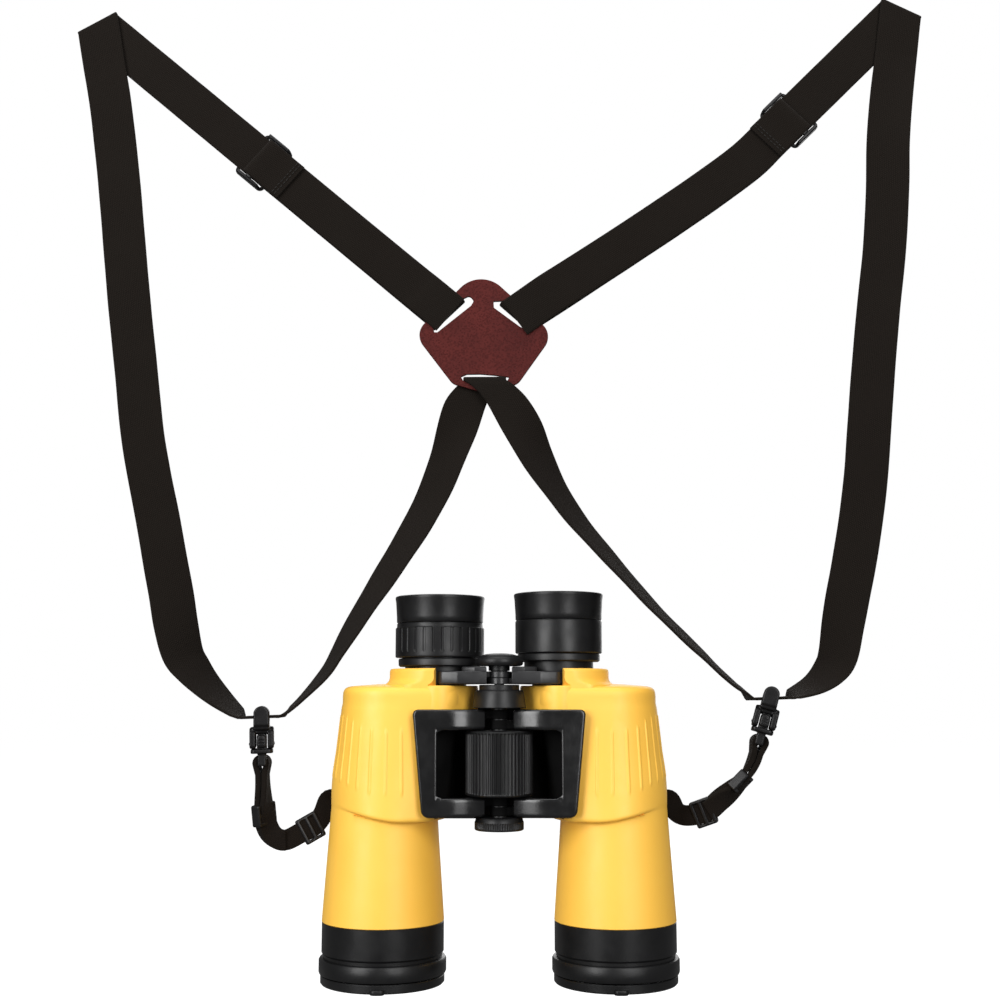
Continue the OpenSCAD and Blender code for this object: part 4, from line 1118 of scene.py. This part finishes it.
def make_patch():
    """The leather patch: a rounded outline with three slots, cut from one sheet."""
    thick, edge = 2.4, 0.28
    middle = np.array([-8.5, -190.0])
    discs = [(-9.8, -172, 15.6), (-34, -187.4, 9), (17.3, -188.3, 9), (-21, -208.6, 6.6),
             (6, -208.6, 6.6), (-7.8, -209.8, 9.2)]
    t = np.linspace(0, 2 * math.pi, 240, endpoint=False)
    r = hull_radius([(x - middle[0], y - middle[1], r) for x, y, r in discs], t, 0)
    lines = [np.stack([middle[0] + r * np.cos(t), middle[1] + r * np.sin(t)], -1)]
    # The slots taper, and each strap covers one long side of its slot
    for corners, steps in ((PATCH_SLOTS[0], 5), (PATCH_SLOTS[1], 4), (PATCH_SLOTS[2], 4)):
        lines.append(rounded(corners, steps))
    curve = bpy.data.curves.new("patch_outline", "CURVE")
    curve.dimensions, curve.fill_mode = "2D", "BOTH"
    curve.extrude, curve.bevel_depth, curve.bevel_resolution = (thick / 2 - edge) * MM, edge * MM, 2
    curve.offset = -edge * MM
    for line in lines:
        spline = curve.splines.new("POLY")
        spline.points.add(len(line) - 1)
        for p, (x, z) in zip(spline.points, line):
            p.co = (x * MM, z * MM, 0, 1)
        spline.use_cyclic_u = True
    flat = placed("patch_flat", curve)
    mesh = evaluated_mesh(flat)
    bpy.data.objects.remove(flat)
    mesh.transform(Matrix.Rotation(math.pi / 2, 4, "X"))
    mesh.materials.clear()
    mesh.materials.append(leather)
    mesh.materials.append(leather_edge)
    for p in mesh.polygons:
        p.material_index = int(abs(p.normal.y) < 0.6)
        p.use_smooth = True
    mesh.set_sharp_from_angle(angle=math.radians(35))
    declare(placed("leather_patch", mesh), "harness", ("back_patch",))


# ---- Buckles and connector webbings ----

def on_buckle(name):
    """A buckle's place: it leans, and is turned about its own length."""
    return (Matrix.Translation(Vector(BIGHTS[name]))
            @ Matrix.Rotation(math.radians(LEANS[name]), 4, "Y")
            @ Matrix.Rotation(math.radians(TWISTS[name]), 4, "Z"))


def make_buckle(name):
    place = on_buckle(name)
    # The loop over the webbing: its section round the window, and two posts
    r = 4.1
    top = [(r * math.cos(a), r * math.sin(a) + 1.5) for a in np.radians(np.linspace(14, 166, 17))]
    post = rounded([(r, -4.6, 0.6)] + top + [(-r, -4.6, 0.6)], 3)
    solids = [upright(slab(top, -15.3, 15.3, 0.8))]
    solids += [upright(slab(post, y, y + 3, 0.8)) for y in (-15.4, 12.4)]
    solids.append(block((-4.1, -14.6, -6.4), (4.1, 14.6, -2.4), 0.7))
    # The housing of the plug, open at both ends for the prongs
    plate = rounded([(-11, -15.9, 1.4), (11, -15.9, 1.4), (11, -7.2, 2.4), (8.5, -5.1, 1.2),
                     (-8.5, -5.1, 1.2), (-11, -7.2, 2.4)], 4)
    turned = Matrix.Rotation(-math.pi / 2, 4, "Z")
    solids += [moved(upright(slab(plate, x, x + 3.3, 0.9)), turned) for x in (-6.2, 2.9)]
    solids.append(block((-5.6, -10.2, -8.6), (5.6, 10.2, -5.2), 0.9))
    solids += [block((x - 0.7, -6, -14.2), (x + 0.7, 6, -12.9), 0.4) for x in (-5.9, 5.9)]
    fused(f"socket_body_{name}", moved(joined(*solids), place), "carrier",
          (f"buckle_socket_{name}",), plastic, 0.34, 3)

    wings = slab(rounded([(a * 5.7, b * 10.6, 2.2) for a, b in QUARTERS], 5), -18.4, -16.2, 0.5)
    plug = [wings, block((-2, -2, -17), (2, 2, -8.2), 0.5)]
    plug += [block((-2.2, y, -24.9), (2.2, y + 2.2, -17.8), 0.6) for y in (-8, 5.8)]
    plug.append(moved(lathe([(AXIS_R, -6.6), (1.5, -6.6), (1.5, 6.6), (AXIS_R, 6.6)], 24),
                      Matrix.Translation((0, 0, PLUG_BAR_Z))
                      @ Matrix.Rotation(-math.pi / 2, 4, "X")))
    fused(f"plug_body_{name}", moved(joined(*plug), place), f"plug_{name}",
          (f"buckle_plug_{name}",), plastic, 0.34, 2)

    for s, end in ((-1, "front"), (1, "back")):
        parts = []
        # The springy arm, the pad on its outer side, and the grips on the pad
        for foot, foot_r, head, (y0, y1), edge in (
            (-16.6, 0.4, -7.7, (6.6, 9.2), 0.5),
            (-15.4, 1.2, -8.8, (8.6, 11.5), 0.9),
        ):
            outline = rounded([(-2.5, foot, foot_r), (2.5, foot, foot_r), (2.5, head, 2.3),
                               (-2.5, head, 2.3)], 5)
            parts.append(upright(slab(outline, min(s * y0, s * y1), max(s * y0, s * y1), edge)))
        parts += [block((-1.7, s * 11.5 - 0.25, z - 0.35), (1.7, s * 11.5 + 0.25, z + 0.35), 0.2)
                  for z in (-11, -12.4, -13.8)]
        piece(f"prong_body_{end}_{name}", moved(joined(*parts), place),
              f"prong_{end}_{name}", (f"prong_{end}_{name}",), plastic)


# Where the doubled stretch of a connector ends, as the number of a point of its
# curve. Each adjuster: its kind, its point of the curve and its thickness
ROUTE_STEPS = 6
CONNECTOR_SPLIT = 5 * ROUTE_STEPS
ADJUSTERS = {"left": (("upper", 16, 5.4), ("lower", 40, 4.2)),
             "right": (("upper", 14, 5.4), ("lower", 32, 4.2))}


def make_connector(name):
    """Webbing from the plug's bar down to the lug on the housing, doubled above."""
    path = stations(CONNECTOR_ROUTES[name], CONNECTOR_W, ROUTE_STEPS)
    t = np.gradient(np.array([p for p, _ in path]), axis=0)
    normal = [unit(np.cross(d, h)) for d, (_, h) in zip(t, path)]
    place = on_buckle(name)
    bar = np.array(place @ Vector((0, 0, PLUG_BAR_Z)))
    up = unit(np.array(place @ Vector((0, 0, 0))) - bar)
    side = unit(np.cross(up, (0, 1, 0)))

    def layer(i, s):
        off = 1.6 - 0.35 * ease(i, 10, 20)
        return path[i][0] + s * off * normal[i], path[i][1]

    # Up one layer, round the bar and down the other layer
    sign = 1 if float(normal[0] @ side) > 0 else -1
    loop = [layer(i, -sign) for i in range(CONNECTOR_SPLIT, 2, -1)]
    loop += [(bar + 2.9 * (math.sin(a) * up - math.cos(a) * side), path[0][1])
             for a in np.radians(range(-20, 201, 20))]
    loop += [layer(i, sign) for i in range(3, CONNECTOR_SPLIT + 1)]
    band(f"connector_top_{name}", loop, CONNECTOR_T, "carrier", (f"connector_upper_{name}",),
         connector_webbing,
         ("carrier", f"plug_{name}", path[CONNECTOR_SPLIT - 4][0], path[2][0]))
    band(f"connector_low_{name}", path[CONNECTOR_SPLIT - 2:], CONNECTOR_T + 0.2, "carrier",
         (f"connector_lower_{name}",), connector_webbing,
         ("carrier", f"half_{name}", path[CONNECTOR_SPLIT + 4][0], path[-8][0]))
    for kind, at, thick in ADJUSTERS[name]:
        make_adjuster(f"{kind}_{name}", path, at, thick, (f"{kind}_adjuster_{name}",))


def make_adjuster(name, path, at, thick, nodes):
    """A small tri-glide round a connector: two rails, and three bars on each face."""
    p, h = path[at]
    across = unit(h)
    along = unit(path[at + 1][0] - path[at - 1][0])
    along = unit(along - (along @ across) * across)
    place = np.eye(4)
    place[:3, :] = np.stack([along, across, np.cross(along, across), p], -1)
    half_x, half_w, rail = 5.5, CONNECTOR_W / 2 + 1.7, 0.85
    parts = [block((-half_x, s * (half_w - rail) - rail, -thick / 2),
                   (half_x, s * (half_w - rail) + rail, thick / 2), 0.7) for s in (-1, 1)]
    for low in (-thick / 2, thick / 2 - 1.1):
        for x in (-4.6, 0, 4.6):
            parts.append(block((x - 0.95, 0.6 - half_w, low), (x + 0.95, half_w - 0.6, low + 1.1),
                               0.4))
    fused(f"adjuster_{name}", moved(joined(*parts), place), "carrier", nodes, plastic, 0.3, 2)


# ---- Everything ----

set_stage()
for side, name in SIDES:
    make_armour_half(side, name)
    make_hinge_frame(side, name)
    make_objective_end(side, name)
    make_arm(side, name)
    make_buckle(name)
    make_connector(name)
    paint_node(f"strap_lug_{name}", plastic, 0.8)
    paint_node(f"prisms_{name}", glass)
make_eyepiece(-1, "left", (-365, -360.3, -342.3, -328.5), 11.4)
make_eyepiece(1, "right", (-362.4, -357.8, -340.8, -326.9), 11.7)
make_dioptre_and_sleeve()
make_centre()
for side, name in SIDES:
    make_webbings(side, name)
make_patch()
